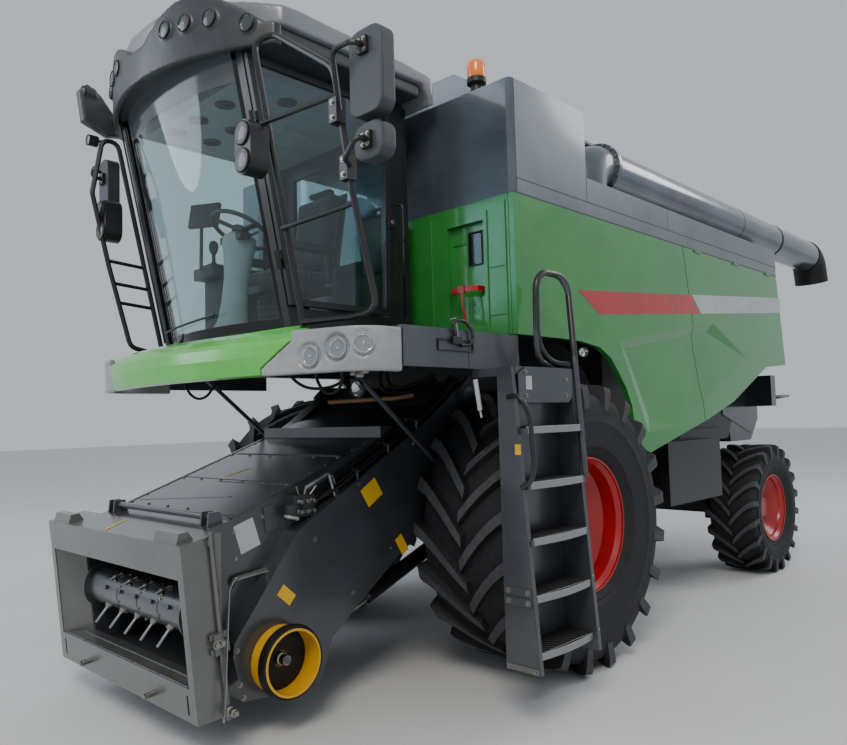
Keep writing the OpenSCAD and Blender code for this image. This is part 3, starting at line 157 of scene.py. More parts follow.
def bumped(tree, height, strength, depth_mm):
    return add(tree, "Bump", {"Height": height, "Strength": strength, "Distance": depth_mm / 1000}).outputs["Normal"]


def sprayed_paint(name, dark, light, metallic, rough, coat, peel=0.12, dust="#8a8478", dusty=0.10, coat_rough=0.08):
    """Sprayed paint: faint orange peel of 3 mm, cloudy colour over half a metre and dust that thins upwards."""
    material, tree, place = start_material(name)
    cloud = noise(tree, place, 450, 3.0)
    colour = tinted(tree, spread(tree, cloud, 0.35, 0.65, 0.0, 1.0), dark, light)
    height = add(tree, "SeparateXYZ", {"Vector": place}).outputs["Z"]
    low_down = spread(tree, height, 0.2, 1.9, dusty, dusty * 0.15)
    speckle = spread(tree, noise(tree, place, 60, 6.0, 0.7), 0.45, 0.75, 0.3, 1.0)
    amount = calc(tree, "MULTIPLY", low_down, speckle)
    dusted = add(tree, "Mix", {"Factor": amount, "A": colour}, data_type="RGBA")
    dusted.inputs["B"].default_value = linear(dust)
    gloss = calc(tree, "ADD", spread(tree, cloud, 0.3, 0.7, rough - 0.04, rough + 0.05), amount)
    shader = add(tree, "BsdfPrincipled", {
        "Base Color": dusted.outputs["Result"], "Metallic": metallic, "Roughness": gloss, "Coat Weight": coat,
        "Coat Roughness": coat_rough, "Normal": bumped(tree, noise(tree, place, 3.0, 2.0), peel, 0.4)})
    close_material(tree, shader)
    return material


def moulded_plastic(name, dark, light, rough, grain_mm, grain, coat=0.0):
    """Moulded plastic: an even leather-like grain and slightly uneven gloss."""
    material, tree, place = start_material(name)
    cloud = noise(tree, place, 220, 3.0)
    colour = tinted(tree, spread(tree, cloud, 0.35, 0.65, 0.0, 1.0), dark, light)
    cells = add(tree, "TexVoronoi", {"Vector": place, "Scale": 1000.0 / grain_mm}, feature="SMOOTH_F1").outputs[0]
    shader = add(tree, "BsdfPrincipled", {
        "Base Color": colour, "Roughness": spread(tree, cloud, 0.3, 0.7, rough - 0.05, rough + 0.06),
        "Coat Weight": coat, "Coat Roughness": 0.12, "Normal": bumped(tree, cells, grain, 0.3)})
    close_material(tree, shader)
    return material


# Two-layer enamel on sheet steel: bright leaf green with a clear gloss
green_enamel = sprayed_paint("green_enamel", "#2b7a31", "#318437", 0.0, 0.20, 0.6, peel=0.05, dusty=0.05)
# Bumper's enamel: the body's green painted brighter, a painted highlight since it faces the sky
sky_lit_bumper_enamel = sprayed_paint("bumper_green_painted_sky_highlight", "#45a83a", "#5cc04c", 0.0, 0.22, 0.6)
# Bluish grey metallic enamel of the tank and the auger
grey_enamel = sprayed_paint("grey_metallic_enamel", "#474f59", "#56606b", 0.35, 0.34, 0.8)
# Darker grey of the platform and the ladder, with less metal flake
ladder_enamel = sprayed_paint("dark_grey_step_enamel", "#3b3f46", "#484c54", 0.3, 0.36, 0.5, coat_rough=0.15)
# Black enamel of the rear hood and the deck, glossier than the feeder's
hood_enamel = sprayed_paint("black_hood_enamel", "#1d2025", "#282b31", 0.1, 0.26, 0.7, dusty=0.04)
# The same grey over smooth rolled tube, so it mirrors more
tube_enamel = sprayed_paint("grey_tube_enamel", "#565d66", "#68707a", 0.6, 0.20, 0.5, peel=0.05)
# Warm grey metallic paint of the feeder's mounting frame
frame_enamel = sprayed_paint("warm_grey_metallic_enamel", "#555855", "#666966", 0.45, 0.36, 0.9,
                             coat_rough=0.2)
# Dark grey metallic paint of the feeder house
dark_enamel = sprayed_paint("dark_grey_metallic_enamel", "#33373e", "#41464e", 0.4, 0.34, 1.0,
                            coat_rough=0.2)
# Black chassis paint, satin and a bit dusty
chassis_paint = sprayed_paint("black_chassis_paint", "#0d0e11", "#16181c", 0.0, 0.42, 0.1, dusty=0.07)
# Powder coat on tubes and the cab's frame, finely pebbled
powder_coat = sprayed_paint("black_powder_coat", "#0e0f11", "#191a1d", 0.0, 0.38, 0.15, peel=0.3)
# Red wheel enamel, half glossy
red_enamel = sprayed_paint("red_wheel_enamel", "#970a0b", "#b01010", 0.0, 0.34, 0.25, dusty=0.03)
# Gel coat of the glass fibre roof
gel_coat = sprayed_paint("grey_gel_coat", "#6d7278", "#7b8086", 0.0, 0.30, 0.35, dusty=0.02)
# Moulded ABS of the visor and, lighter and more matt, of the mirrors' shells
visor_abs = moulded_plastic("dark_grey_abs", "#2d3035", "#383b41", 0.42, 1.6, 0.08, coat=0.1)
mirror_abs = moulded_plastic("mid_grey_abs", "#363a40", "#42464d", 0.50, 1.6, 0.12)
# Silver paint over smooth ABS: the corner piece, armrest buttons and small trims
silver_abs = moulded_plastic("silver_painted_abs", "#8b8d90", "#a0a2a5", 0.34, 3.0, 0.04, coat=0.25)
# Grained black ABS, mostly matt
black_abs = moulded_plastic("black_abs", "#0d0e0f", "#17181a", 0.50, 1.4, 0.16)
# Polyethylene of the shaft guard: waxy, deep yellow
yellow_pe = moulded_plastic("yellow_polyethylene", "#d09a10", "#e3ab1c", 0.46, 2.4, 0.08)
# Light grey trim inside the cab
trim_grey = moulded_plastic("light_grey_trim", "#84878b", "#93969a", 0.58, 1.6, 0.14)


def rubber(name, dark, light, rough, grain_mm):
    """Vulcanised rubber: matt, faintly mottled, with dust in the grain."""
    material, tree, place = start_material(name)
    mottled = noise(tree, place, 35, 6.0, 0.7)
    colour = tinted(tree, spread(tree, mottled, 0.35, 0.75, 0.0, 1.0), dark, light)
    grain = noise(tree, place, grain_mm, 5.0, 0.7)
    shader = add(tree, "BsdfPrincipled", {
        "Base Color": colour, "Roughness": spread(tree, mottled, 0.3, 0.7, rough - 0.08, rough + 0.06),
        "Specular IOR Level": 0.35, "Normal": bumped(tree, grain, 0.35, 0.8)})
    close_material(tree, shader)
    return material


# Carbon black rubber, dull
tyre_rubber = rubber("tyre_rubber", "#1a1b1e", "#2b2c2f", 0.72, 5.0)
# Tops of the lugs, lighter grey: partly road dust and partly a painted highlight
lug_top_dust_and_highlight_rubber = rubber("rubber_of_lug_tops_dust_and_painted_highlight", "#393a3e", "#525357", 0.78, 5.0)
# Hoses, seals and bellows: smoother, so a little shinier
hose_rubber = rubber("hose_rubber", "#0c0c0d", "#1a1a1b", 0.55, 3.0)


def metal(name, tone, rough, grain_mm, strength):
    """Bare or plated metal with fine grain."""
    material, tree, place = start_material(name)
    grain = noise(tree, place, grain_mm, 3.0)
    shader = add(tree, "BsdfPrincipled", {
        "Base Color": tinted(tree, grain, tone[0], tone[1]), "Metallic": 1.0,
        "Roughness": spread(tree, grain, 0.3, 0.7, rough - 0.05, rough + 0.07),
        "Normal": bumped(tree, grain, strength, 0.2)})
    close_material(tree, shader)
    return material


# Hard chrome, zinc on fasteners, dull galvanised sheet and the lamps' bright bowls
chrome = metal("chrome_plate", ("#c9cccf", "#e2e4e6"), 0.10, 4.0, 0.02)
zinc = metal("zinc_plated_steel", ("#84847e", "#a3a29a"), 0.34, 3.0, 0.08)
galvanised = metal("galvanised_steel", ("#6d7276", "#868b8f"), 0.48, 14.0, 0.10)
reflector = metal("lamp_reflector", ("#c4c7c9", "#f2f3f3"), 0.10, 9.0, 0.05)


def mirror_share(tree):
    """Share of light that glass mirrors: 4 % head on, rising steeply along the surface, the same on both faces."""
    facing_away = add(tree, "LayerWeight", {"Blend": 0.5}).outputs["Facing"]
    return spread(tree, calc(tree, "POWER", facing_away, 5.0), 0.0, 1.0, 0.04, 0.9)


def pane(name, tint, printed=False):
    """A thin pane: gloss over a tinted see-through body, with a little dust on it.

    The windscreen is also printed: a black ceramic frit along its edges and a grey sun strip at its head.
    """
    film, edge_y, screen_y, foot_z, strip_z = 0.008, 0.632, 0.70, 2.185, 3.475
    material, tree, place = start_material(name)
    gloss = add(tree, "BsdfGlossy", {"Color": (1, 1, 1, 1), "Roughness": 0.02})
    through = add(tree, "BsdfTransparent", {"Color": linear(tint)})
    clean = add(tree, "MixShader", {0: mirror_share(tree), 1: through.outputs[0], 2: gloss.outputs[0]})
    dust = add(tree, "BsdfDiffuse", {"Color": linear("#b9c2c4")})
    cloudy = spread(tree, noise(tree, place, 260, 4.0), 0.35, 0.7, film * 0.4, film)
    mixed = add(tree, "MixShader", {0: cloudy, 1: clean.outputs[0], 2: dust.outputs[0]})
    if printed:
        axes = add(tree, "SeparateXYZ", {"Vector": place})
        beside = calc(tree, "ABSOLUTE", calc(tree, "ADD", axes.outputs["Y"], -FRONT_AXLE.y))
        screen = calc(tree, "LESS_THAN", beside, screen_y)
        sides = calc(tree, "MULTIPLY", calc(tree, "GREATER_THAN", beside, edge_y), screen)
        black = calc(tree, "MAXIMUM", sides, calc(tree, "LESS_THAN", axes.outputs["Z"], foot_z))
        strip = calc(tree, "MULTIPLY", calc(tree, "GREATER_THAN", axes.outputs["Z"], strip_z), screen)
        grey = add(tree, "BsdfPrincipled", {"Base Color": linear("#5d646b"), "Roughness": 0.12})
        ceramic = add(tree, "BsdfPrincipled", {"Base Color": linear("#0b0c0d"), "Roughness": 0.10})
        veil = calc(tree, "MULTIPLY", strip, 0.72)
        mixed = add(tree, "MixShader", {0: veil, 1: mixed.outputs[0], 2: grey.outputs[0]})
        mixed = add(tree, "MixShader", {0: black, 1: mixed.outputs[0], 2: ceramic.outputs[0]})
    close_material(tree, mixed)
    return material


# Laminated windscreen: faint green, black frit at its edges and a grey sun strip at its head
screen_glass = pane("laminated_windscreen_glass", "#edf7f8", printed=True)
# Toughened side glass, a little bluer
side_glass = pane("toughened_side_glass", "#e6f3f6")


def lens(name, tint, bump_mm, strength):
    """A clear polycarbonate lens with moulded flutes."""
    material, tree, place = start_material(name)
    flutes = bumped(tree, noise(tree, place, bump_mm, 2.0), strength, 0.3)
    gloss = add(tree, "BsdfGlossy", {"Color": (1, 1, 1, 1), "Roughness": 0.05, "Normal": flutes})
    through = add(tree, "BsdfTransparent", {"Color": linear(tint)})
    close_material(tree, add(tree, "MixShader", {0: mirror_share(tree), 1: through.outputs[0], 2: gloss.outputs[0]}))
    return material


# Clear lens, lenses of the beacon and the rear lamps, and silvered glass
lamp_lens = lens("clear_polycarbonate_lens", "#eef2f4", 6.0, 0.5)
amber_lens = moulded_plastic("amber_polycarbonate", "#e86a08", "#ff8a1a", 0.16, 9.0, 0.05, coat=0.8)
red_lens = moulded_plastic("red_polycarbonate", "#a80e0e", "#c81a16", 0.16, 5.0, 0.10, coat=0.8)
mirror_glass = metal("mirror_glass", ("#b5bcc2", "#cdd3d8"), 0.04, 60.0, 0.01)


def woven_fabric(name, dark, light, thread_mm):
    """Seat cloth: crossed threads drawn at thread_mm, with a soft sheen."""
    material, tree, place = start_material(name)
    wave = {"Vector": place, "Scale": 1000.0 / thread_mm / 6.283, "Distortion": 0.6}
    warp, weft = (add(tree, "TexWave", wave, bands_direction=axis).outputs["Fac"] for axis in "XZ")
    weave = calc(tree, "MULTIPLY", warp, weft)
    shader = add(tree, "BsdfPrincipled", {
        "Base Color": tinted(tree, weave, dark, light), "Roughness": 0.86, "Sheen Weight": 0.35,
        "Sheen Roughness": 0.5, "Normal": bumped(tree, weave, 0.5, 0.6)})
    close_material(tree, shader)
    return material


# Threads are 0.8 mm in the real cloth and drawn at 3 mm so that they show
seat_cloth = woven_fabric("woven_polyester_seat_cloth", "#15171a", "#2b2e33", 3.0)

# Cast aluminium nosings and bars, dull and light
nosing_aluminium = metal("brushed_aluminium", ("#8f9193", "#a9abad"), 0.42, 6.0, 0.10)
# Yellow-brown primer on steel pipe
tan_pipe = sprayed_paint("tan_pipe_paint", "#8a6a3c", "#a07d48", 0.0, 0.40, 0.1)
# Dark tinted acrylic, glossy
dark_pane = moulded_plastic("smoked_acrylic", "#0b0d10", "#14181c", 0.08, 40.0, 0.01, coat=0.8)
# Charcoal trim of the side console
trim_dark = moulded_plastic("charcoal_trim", "#2b2d31", "#36393d", 0.55, 1.6, 0.14)

# Blank sticker vinyl
label_yellow = moulded_plastic("yellow_label_vinyl", "#d9a90c", "#e8b91c", 0.40, 6.0, 0.02)
label_white = moulded_plastic("white_label_vinyl", "#a9adb0", "#b8bbbe", 0.40, 6.0, 0.02)
# Glossy films of the side stripes
stripe_red = sprayed_paint("red_stripe_film", "#a01212", "#b51a18", 0.0, 0.28, 0.4, dusty=0.03)
stripe_silver = sprayed_paint("silver_stripe_film", "#a2a7ab", "#b6bbbf", 0.3, 0.30, 0.4, dusty=0.03)

material_of = {
    green_enamel: ["body_front", "side_panel_left", "side_door_left", "side_door_right_front", "side_door_right"],
    # The bumper gets the brighter green, a painted sky highlight
    sky_lit_bumper_enamel: ["bumper"],
    grey_enamel: ["grain_tank", "tank_lid_left", "tank_lid_right", "auger_elbow"],
    ladder_enamel: ["platform", "ladder"],
    tube_enamel: ["auger_tube"],
    frame_enamel: ["header_frame"],
    dark_enamel: ["feeder_house", "feeder_drum"],
    hood_enamel: ["engine_deck", "rear_hood"],
    chassis_paint: ["chassis", "front_axle", "rear_axle", "knuckle_left", "knuckle_right", "engine", "body_hull",
                    "lift_barrel_left", "lift_barrel_right", "cab_floor"],
    powder_coat: ["cab_frame", "door_frame", "railings"],
    screen_glass: ["cab_glass"],
    side_glass: ["door_glass"],
    gel_coat: ["roof"],
    visor_abs: ["visor"],
    mirror_abs: ["mirrors"],
    seat_cloth: ["seat"],
    black_abs: ["steering"],
    silver_abs: ["lamp_panels"],
    amber_lens: ["beacon"],
    yellow_pe: ["shaft_guard"],
    chrome: ["lift_rod_left", "lift_rod_right"],
    tyre_rubber: ["tyre_front_left", "tyre_front_right", "tyre_rear_left", "tyre_rear_right"],
    red_enamel: ["rim_front_left", "rim_front_right", "rim_rear_left", "rim_rear_right"],
    hose_rubber: ["auger_spout"],
}
for material, names in material_of.items():
    for name in names:
        slots = nodes[name].material_slots
        if not slots:
            nodes[name].data.materials.append(material)
        for slot in slots:
            slot.material = material

# ---- Ways of making pieces ----


def carried(name, data, body):
    """An object at the origin that rides on a body."""
    piece = linked(name, data)
    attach(piece, body)
    return piece


def finish_piece(bm, name, materials, body, bevel_mm=0.0, smooth=35.0):
    """Places a mesh made in millimetres, smooths it and lets it ride on its body."""
    bmesh.ops.remove_doubles(bm, verts=bm.verts, dist=0.02)
    bmesh.ops.recalc_face_normals(bm, faces=bm.faces)
    bm.transform(PLACE)
    mesh = bpy.data.meshes.new(name)
    bm.to_mesh(mesh)
    bm.free()
    for material in materials if isinstance(materials, (list, tuple)) else [materials]:
        mesh.materials.append(material)
    mesh.shade_smooth()
    mesh.set_sharp_from_angle(angle=math.radians(smooth))
    piece = carried(name, mesh, body)
    if bevel_mm:
        edge = piece.modifiers.new("rounded_edges", "BEVEL")
        edge.width = bevel_mm / 1000
        edge.segments = 3
        edge.limit_method = "ANGLE"
        edge.angle_limit = math.radians(40)
        edge.harden_normals = True
    return piece


def add_block(bm, low, high, index=0, turn=None, place=None):
    """A block between two corners, turned about its middle or moved to a place if asked."""
    low, high = Vector(low), Vector(high)
    size = high - low
    matrix = Matrix.Translation((low + high) / 2) @ (turn or Matrix()) @ Matrix.Diagonal((*size, 1.0))
    made = bmesh.ops.create_cube(bm, size=1.0, matrix=matrix)
    for face in {f for v in made["verts"] for f in v.link_faces}:
        face.material_index = index
    if place is not None:
        bmesh.ops.transform(bm, matrix=place, verts=made["verts"])


def add_plate(bm, outline, depth, index=0):
    """A flat outline of 3-D points thickened by a depth vector."""
    verts = [bm.verts.new(p) for p in outline]
    face = bm.faces.new(verts)
    made = bmesh.ops.extrude_face_region(bm, geom=[face])
    moved = [v for v in made["geom"] if isinstance(v, bmesh.types.BMVert)]
    bmesh.ops.translate(bm, verts=moved, vec=depth)
    for f in {f for v in verts + moved for f in v.link_faces}:
        f.material_index = index


def add_border(bm, low, high, width, first, second, index=0):
    """Four bars round the rectangle between two corners: two run along the first axis and two, between them, along
    the second."""
    for along, across, inset in ((first, second, 0), (second, first, width)):
        for at_low in (True, False):
            p, q = list(low), list(high)
            p[along] += inset
            q[along] -= inset
            if at_low:
                q[across] = p[across] + width
            else:
                p[across] = q[across] - width
            add_block(bm, p, q, index)


def facing(direction):
    """Turns the z axis into a direction."""
    return Vector(direction).to_track_quat("Z", "Y").to_matrix().to_4x4()


def turned(degrees, axis="Z"):
    return Matrix.Rotation(math.radians(degrees), 4, axis)


def at(point, direction=None):
    """A place at a point, its z axis turned into a direction if one is given."""
    place = Matrix.Translation(point)
    return place @ facing(direction) if direction is not None else place


def add_turned(bm, profile, place, index=0, steps=40):
    """A profile of (radius, height) spun round the z axis of a place."""
    verts = [bm.verts.new((r, 0.0, z)) for r, z in profile]
    edges = [bm.edges.new(pair) for pair in zip(verts, verts[1:])]
    known = set(bm.faces)
    bmesh.ops.spin(bm, geom=verts + edges, cent=(0, 0, 0), axis=(0, 0, 1), angle=FULL_TURN,
                   steps=steps, use_merge=True)
    new_faces = [f for f in bm.faces if f not in known]
    for face in new_faces:
        face.material_index = index
    bmesh.ops.transform(bm, matrix=place, verts=list({v for f in new_faces for v in f.verts}))


def add_rod(bm, p, q, r, index=0, steps=16):
    """A round bar between two points."""
    p, q = Vector(p), Vector(q)
    length = (q - p).length
    add_turned(bm, [(0, 0), (r, 0), (r, length), (0, length)], at(p, q - p), index, steps)


def add_bolt(bm, place, r, index=0):
    """A hexagon bolt head on a washer, standing on a place's z axis."""
    add_turned(bm, [(0, 0), (r * 1.5, 0), (r * 1.5, r * 0.25), (0, r * 0.25)], place, index, 20)
    made = bmesh.ops.create_cone(bm, cap_ends=True, segments=6, radius1=r, radius2=r, depth=r * 0.9,
                                 matrix=place @ at((0, 0, r * 0.65)))
    for face in {f for v in made["verts"] for f in v.link_faces}:
        face.material_index = index


def tube(name, points, r, material, body, bend=60.0, cyclic=False):
    """A tube of straight lengths joined by bends; bend is the length that a corner takes from each side."""
    points = [Vector(p) for p in points]
    knots = [(points[0], points[0], points[0])]
    for before, corner, after in zip(points, points[1:], points[2:]):
        cut = min(bend, (before - corner).length * 0.49, (after - corner).length * 0.49)
        entry = corner + (before - corner).normalized() * cut
        leave = corner + (after - corner).normalized() * cut
        knots.append((entry, entry, entry.lerp(corner, 0.55)))
        knots.append((leave, leave.lerp(corner, 0.55), leave))
    knots.append((points[-1], points[-1], points[-1]))
    data = bpy.data.curves.new(name, "CURVE")
    data.dimensions = "3D"
    data.bevel_depth = r / 1000
    data.bevel_resolution = 3
    data.resolution_u = 6
    data.use_fill_caps = True
    spline = data.splines.new("BEZIER")
    spline.bezier_points.add(len(knots) - 1)
    for knot, (place, inward, outward) in zip(spline.bezier_points, knots):
        knot.handle_left_type = knot.handle_right_type = "FREE"
        knot.co, knot.handle_left, knot.handle_right = PLACE @ place, PLACE @ inward, PLACE @ outward
    spline.use_cyclic_u = cyclic
    data.materials.append(material)
    return carried(name, data, body)


def add_strip(bm, line, rise, thickness, index=0):
    """A line of points raised into a sheet and given a thickness."""
    verts = [bm.verts.new(p) for p in line]
    edges = [bm.edges.new(pair) for pair in zip(verts, verts[1:])]
    made = bmesh.ops.extrude_edge_only(bm, edges=edges)
    raised = [v for v in made["geom"] if isinstance(v, bmesh.types.BMVert)]
    faces = [f for f in made["geom"] if isinstance(f, bmesh.types.BMFace)]
    bmesh.ops.translate(bm, verts=raised, vec=rise)
    known = set(bm.faces)
    bmesh.ops.solidify(bm, geom=faces, thickness=thickness)
    for face in [f for f in bm.faces if f not in known] + faces:
        if face.is_valid:
            face.material_index = index


def add_lattice(bm, size_x, size_y, pitch, bar, place, index=0):
    """Diamond lattice of flat bars over a rectangle about a place."""
    cells = int((size_x + size_y) / pitch) + 1
    made = bmesh.ops.create_grid(bm, x_segments=cells, y_segments=cells, size=cells * pitch / 2)
    verts = made["verts"]
    bmesh.ops.rotate(bm, verts=verts, matrix=Matrix.Rotation(math.radians(45), 3, "Z"))
    faces = {f for v in verts for f in v.link_faces}
    for edge, normal in (((size_x / 2, 0, 0), (1, 0, 0)), ((-size_x / 2, 0, 0), (-1, 0, 0)),
                         ((0, size_y / 2, 0), (0, 1, 0)), ((0, -size_y / 2, 0), (0, -1, 0))):
        faces = [f for f in faces if f.is_valid]
        geom = faces + list({e for f in faces for e in f.edges}) + list({v for f in faces for v in f.verts})
        cut_made = bmesh.ops.bisect_plane(bm, geom=geom, plane_co=edge, plane_no=normal, clear_outer=True)
        faces = [g for g in cut_made["geom"] if isinstance(g, bmesh.types.BMFace)]
    known = set(bm.verts) - {v for f in faces for v in f.verts}
    bmesh.ops.wireframe(bm, faces=faces, thickness=bar, use_replace=True, use_boundary=True, use_even_offset=True)
    new_verts = [v for v in bm.verts if v not in known]
    for face in {f for v in new_verts for f in v.link_faces}:
        face.material_index = index
    bmesh.ops.transform(bm, matrix=place, verts=new_verts)


def merged_copy(node):
    """A copy of a CAD node's mesh with its doubled vertices merged, in an object of its own."""
    mesh = nodes[node].data.copy()
    bm = bmesh.new()
    bm.from_mesh(mesh)
    bmesh.ops.remove_doubles(bm, verts=bm.verts, dist=0.00005)
    bm.to_mesh(mesh)
    bm.free()
    return linked(node + "_source", mesh)


def with_modifiers(source):
    """The mesh that an object's modifiers give; the object is removed."""
    bpy.context.view_layer.update()
    made = bpy.data.meshes.new_from_object(source.evaluated_get(bpy.context.evaluated_depsgraph_get()))
    bpy.data.objects.remove(source)
    return made


def stand_in(node, name, made, material, body):
    """Shows a reworked mesh in place of its CAD node."""
    made.name = name
    made.materials.clear()
    made.materials.append(material)
    piece = carried(name, made, body)
    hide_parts(node)


def carved(node, name, points, material, body):
    """A copy of a CAD node with a shallow hollow, cut by the hull of a few points."""
    source = merged_copy(node)
    bm = bmesh.new()
    for p in points:
        bm.verts.new(PLACE @ Vector(p))
    made = bmesh.ops.convex_hull(bm, input=bm.verts)
    bmesh.ops.delete(bm, geom=made["geom_interior"], context="VERTS")
    bmesh.ops.recalc_face_normals(bm, faces=bm.faces)
    cutter_mesh = bpy.data.meshes.new(name + "_cutter")
    bm.to_mesh(cutter_mesh)
    bm.free()
    cutter = linked(name + "_cutter", cutter_mesh)
    hollow = source.modifiers.new("hollow", "BOOLEAN")
    hollow.operation = "DIFFERENCE"
    hollow.object = cutter
    hollow.solver = "EXACT"
    made = with_modifiers(source)
    bpy.data.objects.remove(cutter)
    for polygon in made.polygons:
        polygon.material_index = 0
    made.shade_flat()
    stand_in(node, name, made, material, body)


def softened(node, voxel_mm, rounds, material, name, body):
    """A copy of a CAD node whose edges are rounded as a moulding's are."""
    source = merged_copy(node)
    remesh = source.modifiers.new("voxels", "REMESH")
    remesh.mode = "VOXEL"
    remesh.voxel_size = voxel_mm / 1000
    made = with_modifiers(source)
    bm = bmesh.new()
    bm.from_mesh(made)
    for _ in range(rounds):
        bmesh.ops.smooth_vert(bm, verts=bm.verts, factor=0.5, use_axis_x=True, use_axis_y=True, use_axis_z=True)
    for face in bm.faces:
        face.smooth = True
        face.material_index = 0
    bm.to_mesh(made)
    bm.free()
    stand_in(node, name, made, material, body)


# ---- Mouldings ----

softened("roof", 14, 5, gel_coat, "roof_shell", "machine")
softened("visor", 8, 4, visor_abs, "visor_moulding", "machine")
softened("lamp_panels", 7, 4, silver_abs, "corner_mouldings", "machine")
softened("mirrors", 5, 4, mirror_abs, "mirror_shells", "machine")

# ---- Round lamps ----


def round_lamp(name, centre, direction, r, bezel=black_abs):
    """A sealed-beam lamp: black bezel, bowl reflector with a bulb shield, and a ribbed clear lens."""
    bm = bmesh.new()
    place = at(centre, direction)
    add_turned(bm, [(r * 1.10, -r * 0.30), (r * 1.13, r * 0.10), (r * 1.04, r * 0.17), (r * 0.97, r * 0.12),
                    (r * 0.97, -r * 0.05)], place, 0)
    add_turned(bm, [(r * 0.97, r * 0.02), (r * 0.80, -r * 0.16), (r * 0.45, -r * 0.36), (r * 0.16, -r * 0.44),
                    (0, -r * 0.45)], place, 1)
    add_turned(bm, [(0, -r * 0.02), (r * 0.10, -r * 0.04), (r * 0.17, -r * 0.12), (r * 0.17, -r * 0.44)], place, 1)
    add_turned(bm, [(r * 0.98, r * 0.06), (r * 0.80, r * 0.12), (r * 0.45, r * 0.17), (0, r * 0.19)], place, 2)
    return finish_piece(bm, name, [bezel, reflector, lamp_lens], "machine", smooth=50)


VISOR_CENTRE_X = VISOR_X - VISOR_R
for side, mark in ((1, "left"), (-1, "right")):
    for number, (y, z) in enumerate(((306, 3802), (454, 3798), (610, 3785), (806, 3720))):
        angle = math.asin(side * y / VISOR_R) / 2
        face_x = VISOR_CENTRE_X + math.sqrt(VISOR_R ** 2 - y ** 2)
        out = Vector((math.cos(angle), math.sin(angle), 0))
        round_lamp(f"visor_lamp_{mark}_{number}", Vector((face_x, side * y, z)) + out * 9, out, 44)
round_lamp("corner_piece_lamp", Vector((2193, -906, 3854)), (1, 0, 0), 44)
round_lamp("ladder_frame_lamp", Vector((2143, -945, 3556)), (1, 0, 0), 33)
for number, (y, z, degrees, inset) in enumerate(((1190, 1922, 20, 0), (1335, 1954, 24, 0), (1462, 1970, 50, 8))):
    x = BUMPER_X - BUMPER_R + math.sqrt(BUMPER_R ** 2 - y ** 2) - inset
    out = Vector((math.cos(math.radians(degrees)), math.sin(math.radians(degrees)), 0))
    round_lamp(f"corner_lamp_{number}", Vector((x, y, z)) - out * 6, out, 46, silver_abs)
for mark, (x, y) in (("left", (2075, 905)), ("right", (2040, -890))):
    for level, dz in (("low", -70), ("high", 70)):
        round_lamp(f"mast_lamp_{mark}_{level}", (x + 42, y, 3000 + dz), (1, 0, 0), 56)

# ---- Blank labels and the side stripes ----


def label(bm, centre, across, along, half_a, half_b):
    """A thin blank plate lying in the plane of two directions."""
    a, b = Vector(across).normalized() * half_a, Vector(along).normalized() * half_b
    centre = Vector(centre)
    normal = Vector(across).cross(Vector(along)).normalized()
    if normal.y < 0:
        normal = -normal
    add_plate(bm, [centre - a - b, centre + a - b, centre + a + b, centre - a + b], normal * 1.2)


bm = bmesh.new()
for x, z, lean, a, b in ((1172, 1175, -32, 66, 60), (935, 837, -32, 31, 58), (1792, 689, -48, 32, 52)):
    c, s = math.cos(math.radians(lean)), math.sin(math.radians(lean))
    label(bm, (x, SHIELD_Y + SKIN, z), (c, 0, s), (-s, 0, c), a, b)
finish_piece(bm, "shield_labels", label_yellow, "feeder")
bm = bmesh.new()
label(bm, (1950, WALL_Y + SKIN, 1010), (0.95, 0, -0.3), (0.3, 0, 0.95), 62, 78)
finish_piece(bm, "feeder_label", label_white, "feeder")

STRIPES = {
    "red": (stripe_red, "red_paint", ((-48, 2416), (-298, 2277), (-1901, 2412), (-1747, 2553))),
    "silver": (stripe_silver, "silver_plastic", ((-1765, 2556), (-1919, 2414), (-3820, 2576), (-3802, 2728))),
}
# The stripes are cut where one side panel ends and the next begins
PANEL_SPLIT_X = -1640
PANELS = (("left", 1, "front", "machine"), ("left", 1, "rear", "side_door_left"),
          ("right", -1, "front", "side_door_right_front"), ("right", -1, "rear", "side_door_right"))
for tone, (material, slot, corners) in STRIPES.items():
    for mark, side, part, carrier in PANELS:
        low_x, high_x = (PANEL_SPLIT_X, 900) if part == "front" else (-5000, PANEL_SPLIT_X)
        bm = bmesh.new()
        add_plate(bm, [(x, side * (BODY_SIDE_Y + SKIN), z) for x, z in corners], (0, side * 1.0, 0))
        for cut_x, outer in ((low_x, False), (high_x, True)):
            bmesh.ops.bisect_plane(bm, geom=bm.verts[:] + bm.edges[:] + bm.faces[:], plane_co=(cut_x, 0, 0),
                                   plane_no=(1, 0, 0), clear_outer=outer, clear_inner=not outer)
        if bm.faces:
            finish_piece(bm, f"stripe_{tone}_{mark}_{part}", material, carrier)
        else:
            bm.free()

# ---- Tyres ----


# How a lug runs, from the middle of the tread to its end on the sidewall: share of the half-width and
# drop below the outer radius, first where it meets the carcass and then along its top
LUG_COURSE = ((-0.03, 54, -0.03, 3), (0.16, 54, 0.16, 0), (0.36, 54, 0.36, 0), (0.56, 55, 0.56, 0),
              (0.74, 58, 0.75, 0), (0.86, 66, 0.90, 3), (0.925, 84, 0.985, 14), (0.955, 112, 1.0, 52),
              (0.975, 150, 0.998, 104), (0.985, 190, 0.990, 160))


